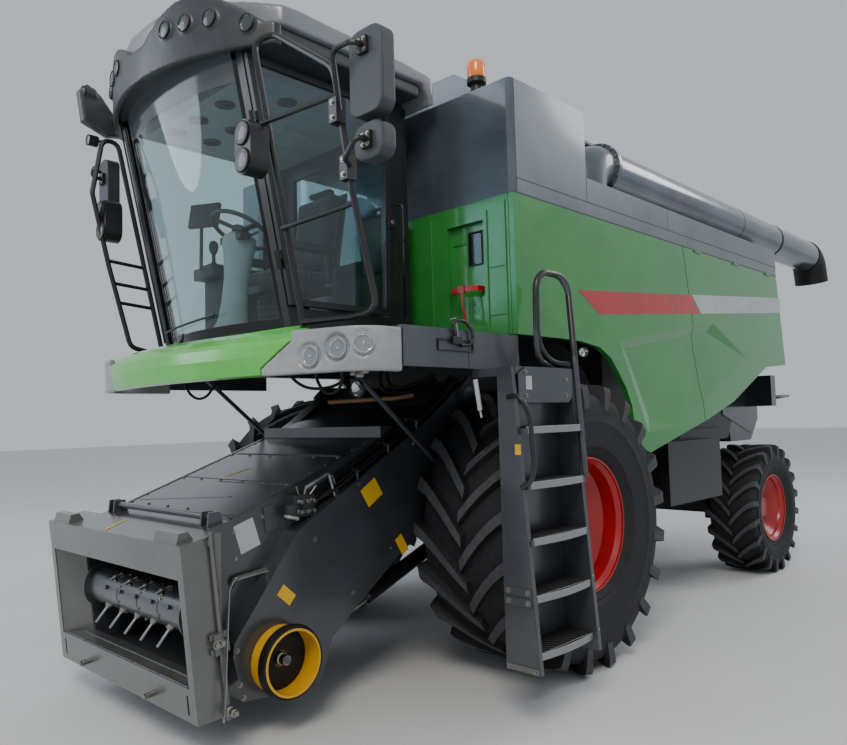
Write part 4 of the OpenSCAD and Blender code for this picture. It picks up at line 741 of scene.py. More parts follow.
def add_lug(bm, start, side, r, w, scale, width, run):
    """One lug: a grid laid along its course, extruded upwards and shaped to the tread and the shoulder."""
    last = len(LUG_COURSE) - 1
    known = set(bm.verts)
    made = bmesh.ops.create_grid(bm, x_segments=last, y_segments=2, size=0.5)
    faces = list({f for v in made["verts"] for f in v.link_faces})
    top = bmesh.ops.extrude_face_region(bm, geom=faces)
    raised = {v for v in top["geom"] if isinstance(v, bmesh.types.BMVert)}
    for vert in [v for v in bm.verts if v not in known]:
        step = min(last, round((vert.co.x + 0.5) * last))
        low_share, low_drop, top_share, top_drop = LUG_COURSE[step]
        on_top = vert in raised
        share, drop = (top_share, top_drop) if on_top else (low_share, low_drop)
        swept = run * (1 - (1 - min(1.0, max(0.0, low_share))) ** 1.35) + (-14 if step == 0 else 0)
        breadth = width * (0.80 if on_top else 1.0) * (1.12 if 4 < step < 8 else 1.0)
        angle = start + (swept + vert.co.y * breadth) / r
        radius = r - drop * scale
        vert.co = (radius * math.cos(angle), side * share * w / 2, radius * math.sin(angle))
    # Tops of the lugs take the lighter rubber: dust and a painted highlight
    for face in {f for v in raised for f in v.link_faces}:
        face.material_index = 1 if all(v in raised for v in face.verts) else 0


def lugged_tyre(name, r, w, rim_r, scale, width, run, centre, body, node):
    """A tractor tyre: a spun carcass and two staggered rows of curved lugs."""
    tread = r - 48 * scale
    middle = (r + rim_r) / 2
    bm = bmesh.new()
    # Radius and share of the width: bead and its rib, sidewall with a flat band, shoulder, tread
    half = [(rim_r + 0.5, 0.40), (rim_r + 16, 0.412), (rim_r + 30, 0.438), (rim_r + 38, 0.443), (rim_r + 46, 0.437),
            (rim_r + 70, 0.466), (middle - 60, 0.488), (middle - 22, 0.494), (middle - 16, 0.4985),
            (middle - 6, 0.4985), (middle, 0.495), (middle + 40, 0.4945), (tread - 95, 0.486), (tread - 55, 0.474),
            (tread - 28, 0.452), (tread - 12, 0.41), (tread - 4, 0.33), (tread, 0.20), (tread + 2, 0.0)]
    profile = [(a, b * w) for a, b in half] + [(a, -b * w) for a, b in reversed(half[:-1])]
    add_turned(bm, profile + [profile[0]], facing((0, 1, 0)), 0, 96)
    for side in (-1, 1):
        for number in range(LUG_COUNT):
            start = (number + (0.5 if side > 0 else 0)) * FULL_TURN / LUG_COUNT
            add_lug(bm, start, side, r, w, scale, width, run)
    bmesh.ops.translate(bm, verts=bm.verts, vec=centre)
    piece = finish_piece(bm, name, [tyre_rubber, lug_top_dust_and_highlight_rubber], body, smooth=32)
    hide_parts(node)


LUG_COUNT = 20
for side, mark in ((1, "left"), (-1, "right")):
    lugged_tyre(f"tyre_carcass_front_{mark}", FRONT_R, FRONT_W, FRONT_RIM_R + 0.3, 1.0, 86, 330,
                (0, side * FRONT_Y, FRONT_R), f"front_wheel_{mark}", f"tyre_front_{mark}")
    lugged_tyre(f"tyre_carcass_rear_{mark}", REAR_R, REAR_W, REAR_RIM_R + 0.3, 0.85, 62, 205,
                (-WHEELBASE, side * REAR_Y, REAR_R), f"rear_wheel_{mark}", f"tyre_rear_{mark}")

# ---- Body: hollowed side panels, seams and seals on the tank, and the recess in front ----

# The hollow in each side panel: its outer corners at the panel's face and the line where it is deepest
HOLLOW_RIM = ((-550, 2114), (-2152, 2351), (-2900, 2060), (-1330, 1490), (-923, 1452))
HOLLOW_FLOOR = ((-665, 2062), (-985, 1560), (-2060, 2272))


def side_hollow(side):
    """Points of the cutter for the hollow on one side."""
    face, proud, deep = BODY_SIDE_Y + 0.5, BODY_SIDE_Y + 7, BODY_SIDE_Y - 28
    return ([(x, side * face, z) for x, z in HOLLOW_RIM] + [(x, side * proud, z) for x, z in HOLLOW_RIM]
            + [(x, side * deep, z) for x, z in HOLLOW_FLOOR])


for node, side, body in (("side_panel_left", 1, "machine"), ("side_door_left", 1, "side_door_left"),
                         ("side_door_right_front", -1, "side_door_right_front"),
                         ("side_door_right", -1, "side_door_right")):
    carved(node, node + "_pressed", side_hollow(side), green_enamel, body)

# Dark seams where sheets meet on the grey band and at the tank's front corner
bm = bmesh.new()
for side in (-1, 1):
    y0, y1 = sorted((side * (BODY_SIDE_Y - 0.8), side * (BODY_SIDE_Y + 0.6)))
    add_block(bm, (BODY_REAR_X, y0, 3030), (582, y1, 3036))
    add_block(bm, (BODY_REAR_X, y0, SEAM_Z - 1), (612, y1, SEAM_Z + 7))
    add_block(bm, (576, y0, 2946), (583, y1, 3646))
    add_block(bm, (-208, y0, 3036), (-203, y1, 3196))
    add_block(bm, (-1394, y0, 3036), (-1389, y1, 3199))
finish_piece(bm, "tank_seams", black_abs, "machine")

# Rubber seal along the tank's upper edges
bm = bmesh.new()
for side in (-1, 1):
    add_rod(bm, (-200, side * 1440, TANK_Z + 2), (585, side * 1440, TANK_Z + 2), 8)
finish_piece(bm, "tank_edge_seals", hose_rubber, "machine")

# Ribs pressed into the green front face, the pane in its recess and a grab bar across it
face_x = BODY_FRONT_X + 0.4
bm = bmesh.new()
for corners in (((1246, 2120), (1252, 2860), (1266, 2872), (1262, 2110)),
                ((1396, 2104), (1396, 2900), (1408, 2908), (1408, 2098)),
                ((790, 2130), (790, 2890), (800, 2896), (800, 2124))):
    add_plate(bm, [(face_x, y, z) for y, z in corners], (9, 0, 0))
for z in (2508, 2214):
    add_block(bm, (face_x, 1268, z), (face_x + 5.6, 1394, z + 9))
add_block(bm, (RECESS_X + 0.5, 950, 2700), (RECESS_X + 7, 1064, 2708))
finish_piece(bm, "front_face_ribs", green_enamel, "machine", bevel_mm=2.5)
bm = bmesh.new()
add_block(bm, (566, 1081, 2561), (574, 1189, 2759))
finish_piece(bm, "recess_pane", dark_pane, "machine")
bm = bmesh.new()
add_border(bm, (574, 1074, 2552), (584, 1196, 2768), 10, 2, 1)
finish_piece(bm, "recess_pane_seal", black_abs, "machine", bevel_mm=2)

# Red clamp with its strap, for a hand lamp or an extinguisher
bm = bmesh.new()
add_strip(bm, [(580, 968, 2380), (640, 975, 2380), (668, 1010, 2380), (668, 1160, 2380), (640, 1192, 2380),
               (580, 1196, 2380)], (0, 0, 34), 4)
add_block(bm, (662, 1060, 2374), (678, 1110, 2420))
add_strip(bm, [(672, 1080, 2376), (676, 1086, 2300), (668, 1098, 2226), (664, 1104, 2160)], (0, 16, 3), 2)
finish_piece(bm, "red_clamp", red_enamel, "machine", bevel_mm=1.5)

# ---- Ladder ----

LADDER_REAR_X, LADDER_FRONT_X, LADDER_IN_Y, LADDER_OUT_Y = 490, 1010, 1635, 1848
STRINGER_X = LADDER_FRONT_X + 30  # outer face of the front stringer
# Height and outer edge of each step
STEPS = [(360 + number * 287.0, 1825 - 8 * number) for number in range(5)]

bm = bmesh.new()
for z, edge in STEPS:
    middle = at(((LADDER_REAR_X + LADDER_FRONT_X) / 2, (LADDER_IN_Y + edge) / 2, z + 36))
    add_block(bm, (LADDER_REAR_X + 4, LADDER_IN_Y + 4, z + 30.2), (LADDER_FRONT_X - 4, edge - 4, z + 32))
    add_lattice(bm, LADDER_FRONT_X - LADDER_REAR_X - 12, edge - LADDER_IN_Y - 8, 34, 6, middle)
finish_piece(bm, "step_gratings", chassis_paint, "machine", smooth=20)

bm = bmesh.new()
for z, edge in STEPS:
    crest = min(26, LADDER_OUT_Y - edge)
    line = [(LADDER_REAR_X + 4 + 512 * t / 12, edge - 2 + crest * math.sin(math.pi * t / 12) ** 0.8, z + 1)
            for t in range(13)]
    add_strip(bm, line, (0, 0, 38), 9)
finish_piece(bm, "step_nosings", nosing_aluminium, "machine", bevel_mm=2)

bm = bmesh.new()
add_block(bm, (LADDER_REAR_X + 2, LADDER_IN_Y - 4, 392), (LADDER_FRONT_X - 2, LADDER_IN_Y + 2, 1850))
for z, edge in STEPS:
    add_block(bm, (LADDER_REAR_X + 2, LADDER_IN_Y + 2, z - 6), (LADDER_FRONT_X - 2, LADDER_IN_Y + 26, z - 0.5))
# Lower lengths of the stringers are dark
for x in (STRINGER_X + SKIN, LADDER_REAR_X - 32.2):
    add_plate(bm, [(x, 1637, 303), (x, LADDER_OUT_Y, 303), (x, 1823, 628), (x, 1637, 628)], (2, 0, 0))
finish_piece(bm, "ladder_risers", dark_enamel, "machine")

bm = bmesh.new()
x = STRINGER_X + 2
for low_z, high_z in ((630, 672), (682, 724)):
    add_plate(bm, [(x, 1640, low_z), (x, 1817, low_z), (x, 1813, high_z), (x, 1640, high_z)], (5, 0, 0))
    for y in (1668, 1792):
        add_bolt(bm, at((x + 5, y, (low_z + high_z) / 2), (1, 0, 0)), 10, 1)
add_plate(bm, [(x, 1640, 304), (x, 1846, 304), (x, 1844, 334), (x, 1640, 334)], (6, 0, 0), 2)
for y in (1662, 1824):
    add_bolt(bm, at((x + 6, y, 319), (1, 0, 0)), 9, 1)
for y, z in ((1810, 700), (1834, 410)):
    add_bolt(bm, at((LADDER_REAR_X - 15, y, z), (0, 1, 0.08)), 10, 1)
finish_piece(bm, "ladder_joint_plates", [ladder_enamel, zinc, frame_enamel], "machine", bevel_mm=1.5)

# Head plate with cut corners and its blank white tag
bm = bmesh.new()
head_y = 1742
add_plate(bm, [(x, y, z) for x, y, z in ((500, head_y, 1700), (500, head_y, 1830), (560, head_y, 1864),
                                         (930, head_y, 1864), (1000, head_y, 1826), (1000, head_y, 1700),
                                         (960, head_y + 2, 1672), (540, head_y + 2, 1672))], (0, 5, 0), 0)
add_block(bm, (884, head_y + 5.2, 1742), (936, head_y + 6.4, 1814), 1)
for x, z in ((560, 1800), (940, 1835), (560, 1710), (940, 1710)):
    add_bolt(bm, at((x, head_y + 5, z), (0, 1, 0)), 9, 2)
finish_piece(bm, "ladder_head_plate", [ladder_enamel, label_white, zinc], "machine", bevel_mm=1.5)

# Tall handrail and the small bar that bulges beside the front stringer
tube("ladder_handrail", [(470, 1770, 1236), (438, 1760, 1300), (430, 1730, 1900), (340, 1640, 2430),
                         (660, 1640, 2430), (672, 1640, 2010), (560, 1650, 1900), (450, 1700, 1890)], 19.5,
     powder_coat, "machine", 110)
tube("ladder_grab_bar", [(1040, 1701, 1703), (1052, 1780, 1712), (1032, 1834, 1620), (1010, 1836, 1340),
                         (1028, 1826, 1262), (1040, 1771, 1233)], 13, powder_coat, "machine", 60)
bm = bmesh.new()
add_block(bm, (STRINGER_X + 1, 1740, 1402), (STRINGER_X + 3, 1776, 1456))
finish_piece(bm, "ladder_label", label_yellow, "machine")
bm = bmesh.new()
add_rod(bm, (1072, 1512, 1805), (1040, 1512, 1640), 13)
add_rod(bm, (1040, 1512, 1640), (1030, 1512, 1600), 6)
finish_piece(bm, "hanging_prop", label_white, "machine")

# ---- Platform: side panel's seam, the bracket with its handle and what hangs underneath ----

bm = bmesh.new()
for x in (1104, 1598.5):
    add_block(bm, (x, PLATFORM_SIDE_Y - SKIN, 1868), (x + 4, PLATFORM_SIDE_Y + 1.2, 2068))
add_block(bm, (660, PLATFORM_SIDE_Y - SKIN, 1960), (664, PLATFORM_SIDE_Y + 1.2, 2066))
finish_piece(bm, "platform_seams", black_abs, "machine")

bm = bmesh.new()
for x0, z0, x1, z1 in ((1070, 1952, 1352, 1960), (1070, 2008, 1352, 2016), (1344, 1960, 1352, 2008),
                       (1070, 1960, 1078, 2008)):
    add_block(bm, (x0, PLATFORM_SIDE_Y, z0), (x1, PLATFORM_SIDE_Y + 8, z1))
add_block(bm, (1180, PLATFORM_SIDE_Y + 1, 1990), (1250, PLATFORM_SIDE_Y + 22, 2030))
finish_piece(bm, "latch_frame", powder_coat, "machine", bevel_mm=1.5)
tube("latch_handle", [(1210, 1512, 2010), (1255, 1516, 2108), (1160, 1522, 2122), (1085, 1520, 2060),
                      (1095, 1516, 1990), (1180, 1512, 1985)], 9, powder_coat, "machine", 35)
tube("latch_bar", [(1252, 1508, 2118), (1215, 1512, 2128), (1205, 1514, 2030)], 5, nosing_aluminium, "machine",
     14)

# Hoses and lines under the platform
for number, points in enumerate((
        ((1690, 900, 1905), (1655, 905, 1780), (1655, 1010, 1735), (1655, 1105, 1790), (1690, 1130, 1900)),
        ((1690, 640, 1910), (1640, 700, 1800), (1500, 760, 1780), (1300, 770, 1860), (1100, 720, 1930)),
        ((1640, -600, 1900), (1610, -560, 1790), (1560, -470, 1770), (1500, -420, 1880)),
        ((560, 300, 2040), (620, 320, 1880), (640, 440, 1800), (560, 560, 1840), (430, 600, 1900)),
        ((560, 250, 2040), (640, 260, 1850), (660, 400, 1770), (560, 540, 1800), (400, 590, 1870)))):
    tube(f"platform_hose_{number}", points, 9 if number < 3 else 13, hose_rubber, "machine", 90)
tube("steel_line", [(760, -130, 1740), (760, 560, 1742), (640, 600, 1760)], 16, tan_pipe, "machine",
     40)
bm = bmesh.new()
for y, z in ((1195, 1862), (1240, 1850), (1278, 1868)):
    add_rod(bm, (1655, y, 2030), (1655, y, z), 11, 1)
    add_turned(bm, [(0, 0), (20, 0), (22, 10), (20, 34), (12, 40), (0, 40)], at((1655, y, z - 30)), 1, 20)
add_block(bm, (1630, 1180, 1880), (1680, 1295, 2036), 0)
add_block(bm, (1648, 1225, 1752), (1660, 1240, 1884), 0)
finish_piece(bm, "work_lamp_bracket", [chassis_paint, zinc], "machine", bevel_mm=2)
round_lamp("wheel_arch_lamp", Vector((-96, 1462, 2010)), (0.8, 0.6, 0), 30)
round_lamp("work_lamp_underneath", Vector((1670, 1232, 1762)), (1, 0, -0.1), 42)

# ---- Cab inside ----


def padded_cushion(name, corners, crown, node_place, material):
    """A cushion shaped by pressure: a rounded block of cloth blown up a little, its growth capped."""
    low, high = (Vector(c) / 1000 for c in corners)
    middle, half = (low + high) / 2, (high - low) / 2
    bm = bmesh.new()
    bmesh.ops.create_cube(bm, size=2.0, matrix=at(middle) @ Matrix.Diagonal((*half, 1.0)))
    bmesh.ops.bevel(bm, geom=bm.edges[:], offset=0.03, affect="EDGES", segments=4, profile=0.5, material=-1)
    mesh = bpy.data.meshes.new(name)
    bm.to_mesh(mesh)
    bm.free()
    piece = linked(name, mesh)
    remesh = piece.modifiers.new("voxels", "REMESH")
    remesh.mode = "VOXEL"
    remesh.voxel_size = 0.012
    bpy.context.view_layer.update()
    even = bpy.data.meshes.new_from_object(piece.evaluated_get(bpy.context.evaluated_depsgraph_get()))
    piece.modifiers.clear()
    piece.data = even
    start = [v.co.copy() for v in even.vertices]
    shape = start
    cloth = piece.modifiers.new("pressure", "CLOTH")
    cloth.settings.use_pressure = True
    cloth.settings.uniform_pressure_force = 4.0
    cloth.settings.effector_weights.gravity = 0.0
    for frame_number in range(1, 21):
        bpy.context.scene.frame_set(frame_number)
    posed = piece.evaluated_get(bpy.context.evaluated_depsgraph_get())
    shape = [v.co.copy() for v in posed.data.vertices]
    bpy.context.scene.frame_set(1)
    piece.modifiers.clear()
    place = PLACE @ node_place @ Matrix.Scale(1000, 4)
    for vert, was, now in zip(even.vertices, start, shape):
        move = now - was
        if move.length > crown:
            move = move.normalized() * crown
        local = was + move
        # Two sewn channels across the pad
        share = (was.x - middle.x) / half.x if half.x > half.z else (was.z - middle.z) / half.z
        for seam in (-0.34, 0.34):
            local = middle + (local - middle) * (1 - 0.06 * math.exp(-((share - seam) * 14) ** 2))
        vert.co = place @ local
    even.shade_smooth()
    even.materials.clear()
    even.materials.append(material)
    level = piece.modifiers.new("subdivision", "SUBSURF")
    level.levels = level.render_levels = 1
    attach(piece, "machine")
    return piece


SEAT_BACK = at((1010, 0, 2590)) @ turned(-10, "Y")
cushion = padded_cushion("seat_cushion", ((1018, -232, 2505), (1450, 232, 2590)), 0.014, Matrix(), seat_cloth)
padded_cushion("seat_backrest", ((-45, -214, 60), (45, 214, 590)), 0.014, SEAT_BACK, seat_cloth)
padded_cushion("seat_headrest", ((-38, -130, 605), (34, 130, 640)), 0.010, SEAT_BACK, seat_cloth)
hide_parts("seat")

# Seat's base: suspension bellows between two trays, backrest shell, armrests and the control console
bm = bmesh.new()
bellows = [(0, 0), (176, 0)]
for fold in range(7):
    bellows += [(180, 12 + fold * 46), (160, 35 + fold * 46)]
add_turned(bm, bellows + [(176, 336), (0, 336)], at((1230, 0, CAB_FLOOR_Z + 4)), 0, 32)
finish_piece(bm, "seat_bellows", hose_rubber, "machine", smooth=50)
bm = bmesh.new()
add_block(bm, (1010, -238, 2444), (1450, 238, 2500))
for side in (-1, 1):
    y0, y1 = sorted((side * 262, side * 340))
    add_block(bm, (1045, y0, 2694), (1395, y1, 2744))
    y0, y1 = sorted((side * 252, side * 296))
    add_block(bm, (1045, y0, 2506), (1095, y1, 2694))
add_block(bm, (-66, -226, 10), (-46, 226, 600), place=SEAT_BACK)
finish_piece(bm, "seat_frame", black_abs, "machine", bevel_mm=12)
bm = bmesh.new()
add_block(bm, (1120, -610, 2600), (1560, -360, 2680))
add_block(bm, (1180, -600, CAB_FLOOR_Z + 4), (1480, -380, 2600))
add_block(bm, (1440, -520, 2680), (1540, -400, 2700))
finish_piece(bm, "side_console", trim_dark, "machine", bevel_mm=22)
# Drive lever with its grip, and five push buttons
bm = bmesh.new()
add_turned(bm, [(0, 0), (34, 0), (24, 14), (13, 30), (12, 80), (26, 100), (33, 128), (30, 158), (16, 176), (0, 180)],
           at((1480, -470, 2694)), 0, 24)
for x, y in ((1180, -560), (1220, -560), (1260, -560), (1180, -500), (1220, -500)):
    add_turned(bm, [(0, 0), (13, 0), (13, 9), (10, 12), (0, 12)], at((x, y, 2678)), 1, 16)
finish_piece(bm, "console_controls", [black_abs, silver_abs], "machine", smooth=45)
bm = bmesh.new()
screen_turn = turned(28) @ turned(-14, "Y")
add_block(bm, (1588, -480, 2920), (1618, -260, 3090), 0, screen_turn)
add_block(bm, (1580, -468, 2934), (1590, -272, 3076), 1, screen_turn)
add_rod(bm, (1560, -500, 2660), (1610, -400, 2940), 12, 0)
finish_piece(bm, "cab_display", [black_abs, dark_pane], "machine", bevel_mm=4)

# Steering column: a moulded cowl round the rod, stalks and the wheel
COLUMN_FOOT, COLUMN_HEAD = Vector((1640, 0, CAB_FLOOR_Z)), Vector((1560, 0, 2840))
column = at(COLUMN_FOOT, COLUMN_HEAD - COLUMN_FOOT) @ Matrix.Diagonal((0.86, 1.0, 1.0, 1.0))
bm = bmesh.new()
add_turned(bm, [(0, 2), (150, 2), (154, 30), (128, 70), (98, 140), (84, 260), (80, 420), (94, 560), (112, 640),
                (106, 690), (70, 716), (0, 720)], column, 0, 36)
finish_piece(bm, "steering_column_cowl", trim_grey, "machine", smooth=50)
wheel = at(COLUMN_HEAD) @ turned(-28, "Y")
bm = bmesh.new()
WHEEL_R, WHEEL_GRIP_R = 190, 14
ring = [(WHEEL_R + WHEEL_GRIP_R * math.cos(FULL_TURN * k / 12), WHEEL_GRIP_R * math.sin(FULL_TURN * k / 12))
        for k in range(12)]
add_turned(bm, ring + [ring[0]], wheel, 0, 56)
add_turned(bm, [(0, 22), (34, 20), (52, 8), (56, -10), (48, -30), (0, -34)], wheel, 0, 32)
for angle in (90, 210, 330):
    add_block(bm, (44, -15, -9), (184, 15, 5), place=wheel @ turned(angle))
knob = wheel @ turned(150) @ at((WHEEL_R, 0, 10))
add_turned(bm, [(0, 0), (9, 0), (9, 22), (22, 30), (24, 46), (14, 56), (0, 58)], knob, 0, 20)
wheel_piece = finish_piece(bm, "steering_wheel", black_abs, "machine", smooth=50)
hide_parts("steering")
bm = bmesh.new()
for side in (-1, 1):
    add_rod(bm, (1566, side * 60, 2780), (1540, side * 170, 2800), 7)
add_block(bm, (1560, -120, 2755), (1640, 120, 2800))
finish_piece(bm, "steering_stalks", black_abs, "machine", bevel_mm=5)
bm = bmesh.new()
for y in (-150, 95):
    add_block(bm, (1690, y, 2112), (1740, y + 60, 2190), 0, turned(-35, "Y"))
finish_piece(bm, "pedals", black_abs, "machine", bevel_mm=5)

# Headlining with its round vents, light bar and floor mat
bm = bmesh.new()
add_block(bm, (785, -640, 3560), (1880, 640, 3630))
for x in (1500, 1760):
    for y in (-440, -160, 160, 440):
        add_turned(bm, [(62, 0), (62, -10), (50, -14), (46, -4), (0, -4)], at((x, y, 3561)), 1, 32)
        for slat in range(-2, 3):
            add_block(bm, (x - 44, y + slat * 17 - 2, 3550), (x + 44, y + slat * 17 + 2, 3558), 1)
add_block(bm, (1100, -120, 3535), (1300, 120, 3562), 2)
finish_piece(bm, "cab_headlining", [trim_grey, black_abs, silver_abs], "machine", bevel_mm=6)
bm = bmesh.new()
add_block(bm, (782, -640, CAB_FLOOR_Z + 0.5), (1640, 640, CAB_FLOOR_Z + 8))
for rib in range(20):
    add_block(bm, (800, -620 + rib * 64, CAB_FLOOR_Z + 8), (1600, -590 + rib * 64, CAB_FLOOR_Z + 11))
finish_piece(bm, "cab_floor_mat", hose_rubber, "machine", bevel_mm=1.5)

# Passenger seat, folded against the rear wall
bm = bmesh.new()
add_block(bm, (790, 330, 2110), (880, 610, 2560))
add_block(bm, (790, 345, 2560), (850, 600, 2960))
finish_piece(bm, "folded_passenger_seat", black_abs, "machine", bevel_mm=24)

# Twin wiper rods beside the windscreen and the wiper arm folded along its foot
for number, (dx, dy) in enumerate(((24, 0), (44, -22))):
    tube(f"wiper_rod_{number}", [(1995 + dx, -655 + dy, 3590), (1925 + dx, -650 + dy, 3250),
                                 (1700 + dx, -640 + dy, 2160)], 6, powder_coat, "machine", 60)
tube("wiper_arm", [(1790, -560, 2215), (1850, -360, 2218), (1880, -60, 2230), (1872, 200, 2246)], 7, powder_coat,
     "machine", 120)

# Door: handle and lock
tube("door_handle", [(905, 770, 2960), (900, 815, 2950), (900, 818, 2720), (905, 772, 2700)], 9, powder_coat,
     "cab_door", 30)
bm = bmesh.new()
add_block(bm, (915, 757, 2800), (985, 772, 2880))
add_turned(bm, [(0, 0), (16, 0), (16, 6), (0, 8)], at((948, 772, 2838), (0, 1, 0)), 1, 20)
finish_piece(bm, "door_lock", [black_abs, zinc], "cab_door", bevel_mm=4)

# ---- Feeder house ----

FEEDER_TILT = math.atan(FEEDER_SLOPE)


def feeder_top(x):
    """Height of the feeder's covers."""
    return 1100 + (2056 - x) * FEEDER_SLOPE


top_turn = Matrix.Rotation(FEEDER_TILT, 4, "Y")
bm = bmesh.new()
for xs, ys, r in (((2008, 1650, 1282), (-590, -360, -120, 120, 360, 590), 8),
                  ((1900, 1760, 1500, 1390, 1180, 1080), (-606, 606), 7)):
    for x in xs:
        for y in ys:
            add_bolt(bm, at((x, y, feeder_top(x) + 6)) @ top_turn, r)
add_bolt(bm, at((2040, 300, 1098)) @ top_turn, 16)
finish_piece(bm, "cover_bolts", zinc, "feeder")

# Pressed creases of the covers and the stiffened edge along each side
bm = bmesh.new()
for x0, y0, x1, y1 in ((1966, -560, 1830, 290), (1660, -130, 1650, 606), (1248, -560, 1248, 560)):
    ends = (Vector((x0, y0, feeder_top(x0) + 7.2)), Vector((x1, y1, feeder_top(x1) + 7.2)))
    along = (ends[1] - ends[0]).normalized()
    across = Vector((math.cos(FEEDER_TILT), 0, -math.sin(FEEDER_TILT))).cross(along).cross(along).normalized() * 6
    add_plate(bm, [ends[0] - across, ends[1] - across, ends[1] + across, ends[0] + across], (0.9, 0, 2.6))
for side in (-1, 1):
    y0, y1 = sorted((side * 612, side * WALL_Y))
    add_plate(bm, [(x, y, feeder_top(x) + 1) for x, y in ((2040, y0), (2040, y1), (980, y1), (980, y0))], (3, 0, 9))
finish_piece(bm, "cover_creases", dark_enamel, "feeder", bevel_mm=2)

bm = bmesh.new()
for x, z in ((1595, 955), (2094, 470), (2080, 300), (1267, 1231), (809, 1447), (1640, 240), (1020, 830), (1330, 620),
             (2060, 232), (600, 1000)):
    add_bolt(bm, at((x, SHIELD_Y, z), (0, 1, 0)), 10)
for x, z in ((1854, 1100), (1760, 1046), (2020, 900), (2030, 1040), (1980, 640), (1900, 560)):
    add_bolt(bm, at((x, WALL_Y, z), (0, 1, 0)), 7.5)
finish_piece(bm, "shield_bolts", zinc, "feeder")

# Hatch and plates on the feeder's left wall, with a black disc painted as the shade in the hole for the reversing bar
bm = bmesh.new()
for corners, depth in ((((1852, 1150), (1768, 1166), (1752, 1030), (1836, 1014)), 9),
                       (((1700, 1120), (1588, 1150), (1580, 1060), (1694, 1020)), 14)):
    add_plate(bm, [(x, WALL_Y, z) for x, z in corners], (0, depth, 0), 0)
# Black disc: painted shade of the hole
add_turned(bm, [(0, 0), (15, 0), (15, 1.5), (0, 1.5)], at((1939, WALL_Y, 699), (0, 1, 0)), 1, 24)
finish_piece(bm, "wall_hatches", [dark_enamel, black_abs], "feeder", bevel_mm=3)

# Hydraulic coupler: its fittings, the levers and the light bar bent over it
bm = bmesh.new()
add_block(bm, (1556, 704, 1080), (1694, 716, 1200), 0)
for column_x in (1582, 1625, 1668):
    for z in (1110, 1165):
        add_turned(bm, [(0, 0), (13, 0), (13, 12), (9, 14), (9, 28), (12, 30), (12, 40), (0, 40)],
                   at((column_x, 714, z), (0, 1, 0)), 1, 20)
add_block(bm, (1700, 690, 1082), (1740, 726, 1150), 2)
for x, z, tip in ((1580, 1200, -40), (1618, 1204, -10), (1655, 1206, 24)):
    add_rod(bm, (x, 700, z - 6), (x + tip, 712, z + 44), 6, 1)
finish_piece(bm, "hydraulic_coupler", [dark_enamel, zinc, visor_abs], "feeder", bevel_mm=3)
tube("coupler_bar", [(1610, 706, 1236), (1560, 716, 1262), (1455, 716, 1308), (1400, 712, 1146)], 11,
     nosing_aluminium, "feeder", 16)
tube("coupler_handle", [(1744, 700, 1092), (1752, 742, 1092), (1686, 742, 1076), (1680, 704, 1070)], 9,
     silver_abs, "feeder", 16)
tube("grab_bracket", [(2046, 636, 758), (2046, 668, 802), (1834, 668, 824), (1834, 636, 824)], 13.5,
     frame_enamel, "feeder", 20)

# Hoses lying along the shield's upper edge down to the coupler
for number, (y, lift, r) in enumerate(((676, 34, 11), (700, 22, 11), (724, 30, 9), (744, 20, 9), (690, 52, 8))):
    tube(f"feeder_hose_{number}", [(352, y, 1846 + lift), (440, y, 1772 + lift), (675, y, 1600 + lift),
                                   (1100, y - 6, 1360 + lift), (1430, y - 14, 1174 + lift * 1.5),
                                   (1520 + number * 8, 690, 1150), (1562, 690, 1105 + number * 20)],
         r, hose_rubber, "feeder", 120)
bm = bmesh.new()
for x in (760, 1010, 1260):
    z = 1596 - (x - 673) * 0.563  # the shield's upper edge
    add_strip(bm, [(x, 662, z - 4), (x, 662, z + 66), (x, 752, z + 46), (x, 756, z - 4)], (14, 0, -8), 3)
finish_piece(bm, "hose_clips", zinc, "feeder", bevel_mm=1)

# Guard's black band, a black disc at its bottom as painted shade, and the universal joint on the stub shaft
shaft_place = at((GUARD_X, 0, GUARD_Z), (0, 1, 0))
shell_r, bore_r = GUARD_R + SKIN, GUARD_R - 12.4
bm = bmesh.new()
add_turned(bm, [(shell_r, 846), (186, 850), (189, 872), (181, 896), (shell_r, 898), (shell_r, 846)],
           shaft_place, 0, 64)
# Black disc near the guard's bottom: painted shade in the guard's depth
add_turned(bm, [(42, 778.4), (bore_r, 778.4), (bore_r, 780), (42, 780), (42, 778.4)], shaft_place, 0, 64)
finish_piece(bm, "guard_band_and_painted_shade_disc", hose_rubber, "feeder")
bm = bmesh.new()
add_turned(bm, [(17.8, 772), (34, 772), (34, 796), (25, 800), (25, 838), (17.8, 838)], shaft_place, 0, 32)
for k in range(6):
    add_block(bm, (15, -3, 800), (19.5, 3, 843), 0, place=shaft_place @ turned(60 * k))
finish_piece(bm, "shaft_splines", zinc, "feeder", bevel_mm=1)

# Mounting frame: yellow marks, latch parts and the wear strips of its lip
FRAME = at((2345, 0, 192)) @ turned(5.8, "Y")
bm = bmesh.new()
add_plate(bm, [FRAME @ Vector(p) for p in ((-186, -160, 864.6), (-20, -58, 852.6), (-20, -34, 852.6),
                                           (-186, -136, 864.6))], (0, 0, 1.2))
add_plate(bm, [(x, y, feeder_top(x) + 7.4) for x, y in ((1600, -150), (1470, -86), (1470, -62), (1600, -126))],
          (0.4, 0, 1.2))
finish_piece(bm, "yellow_marks", label_yellow, "feeder")

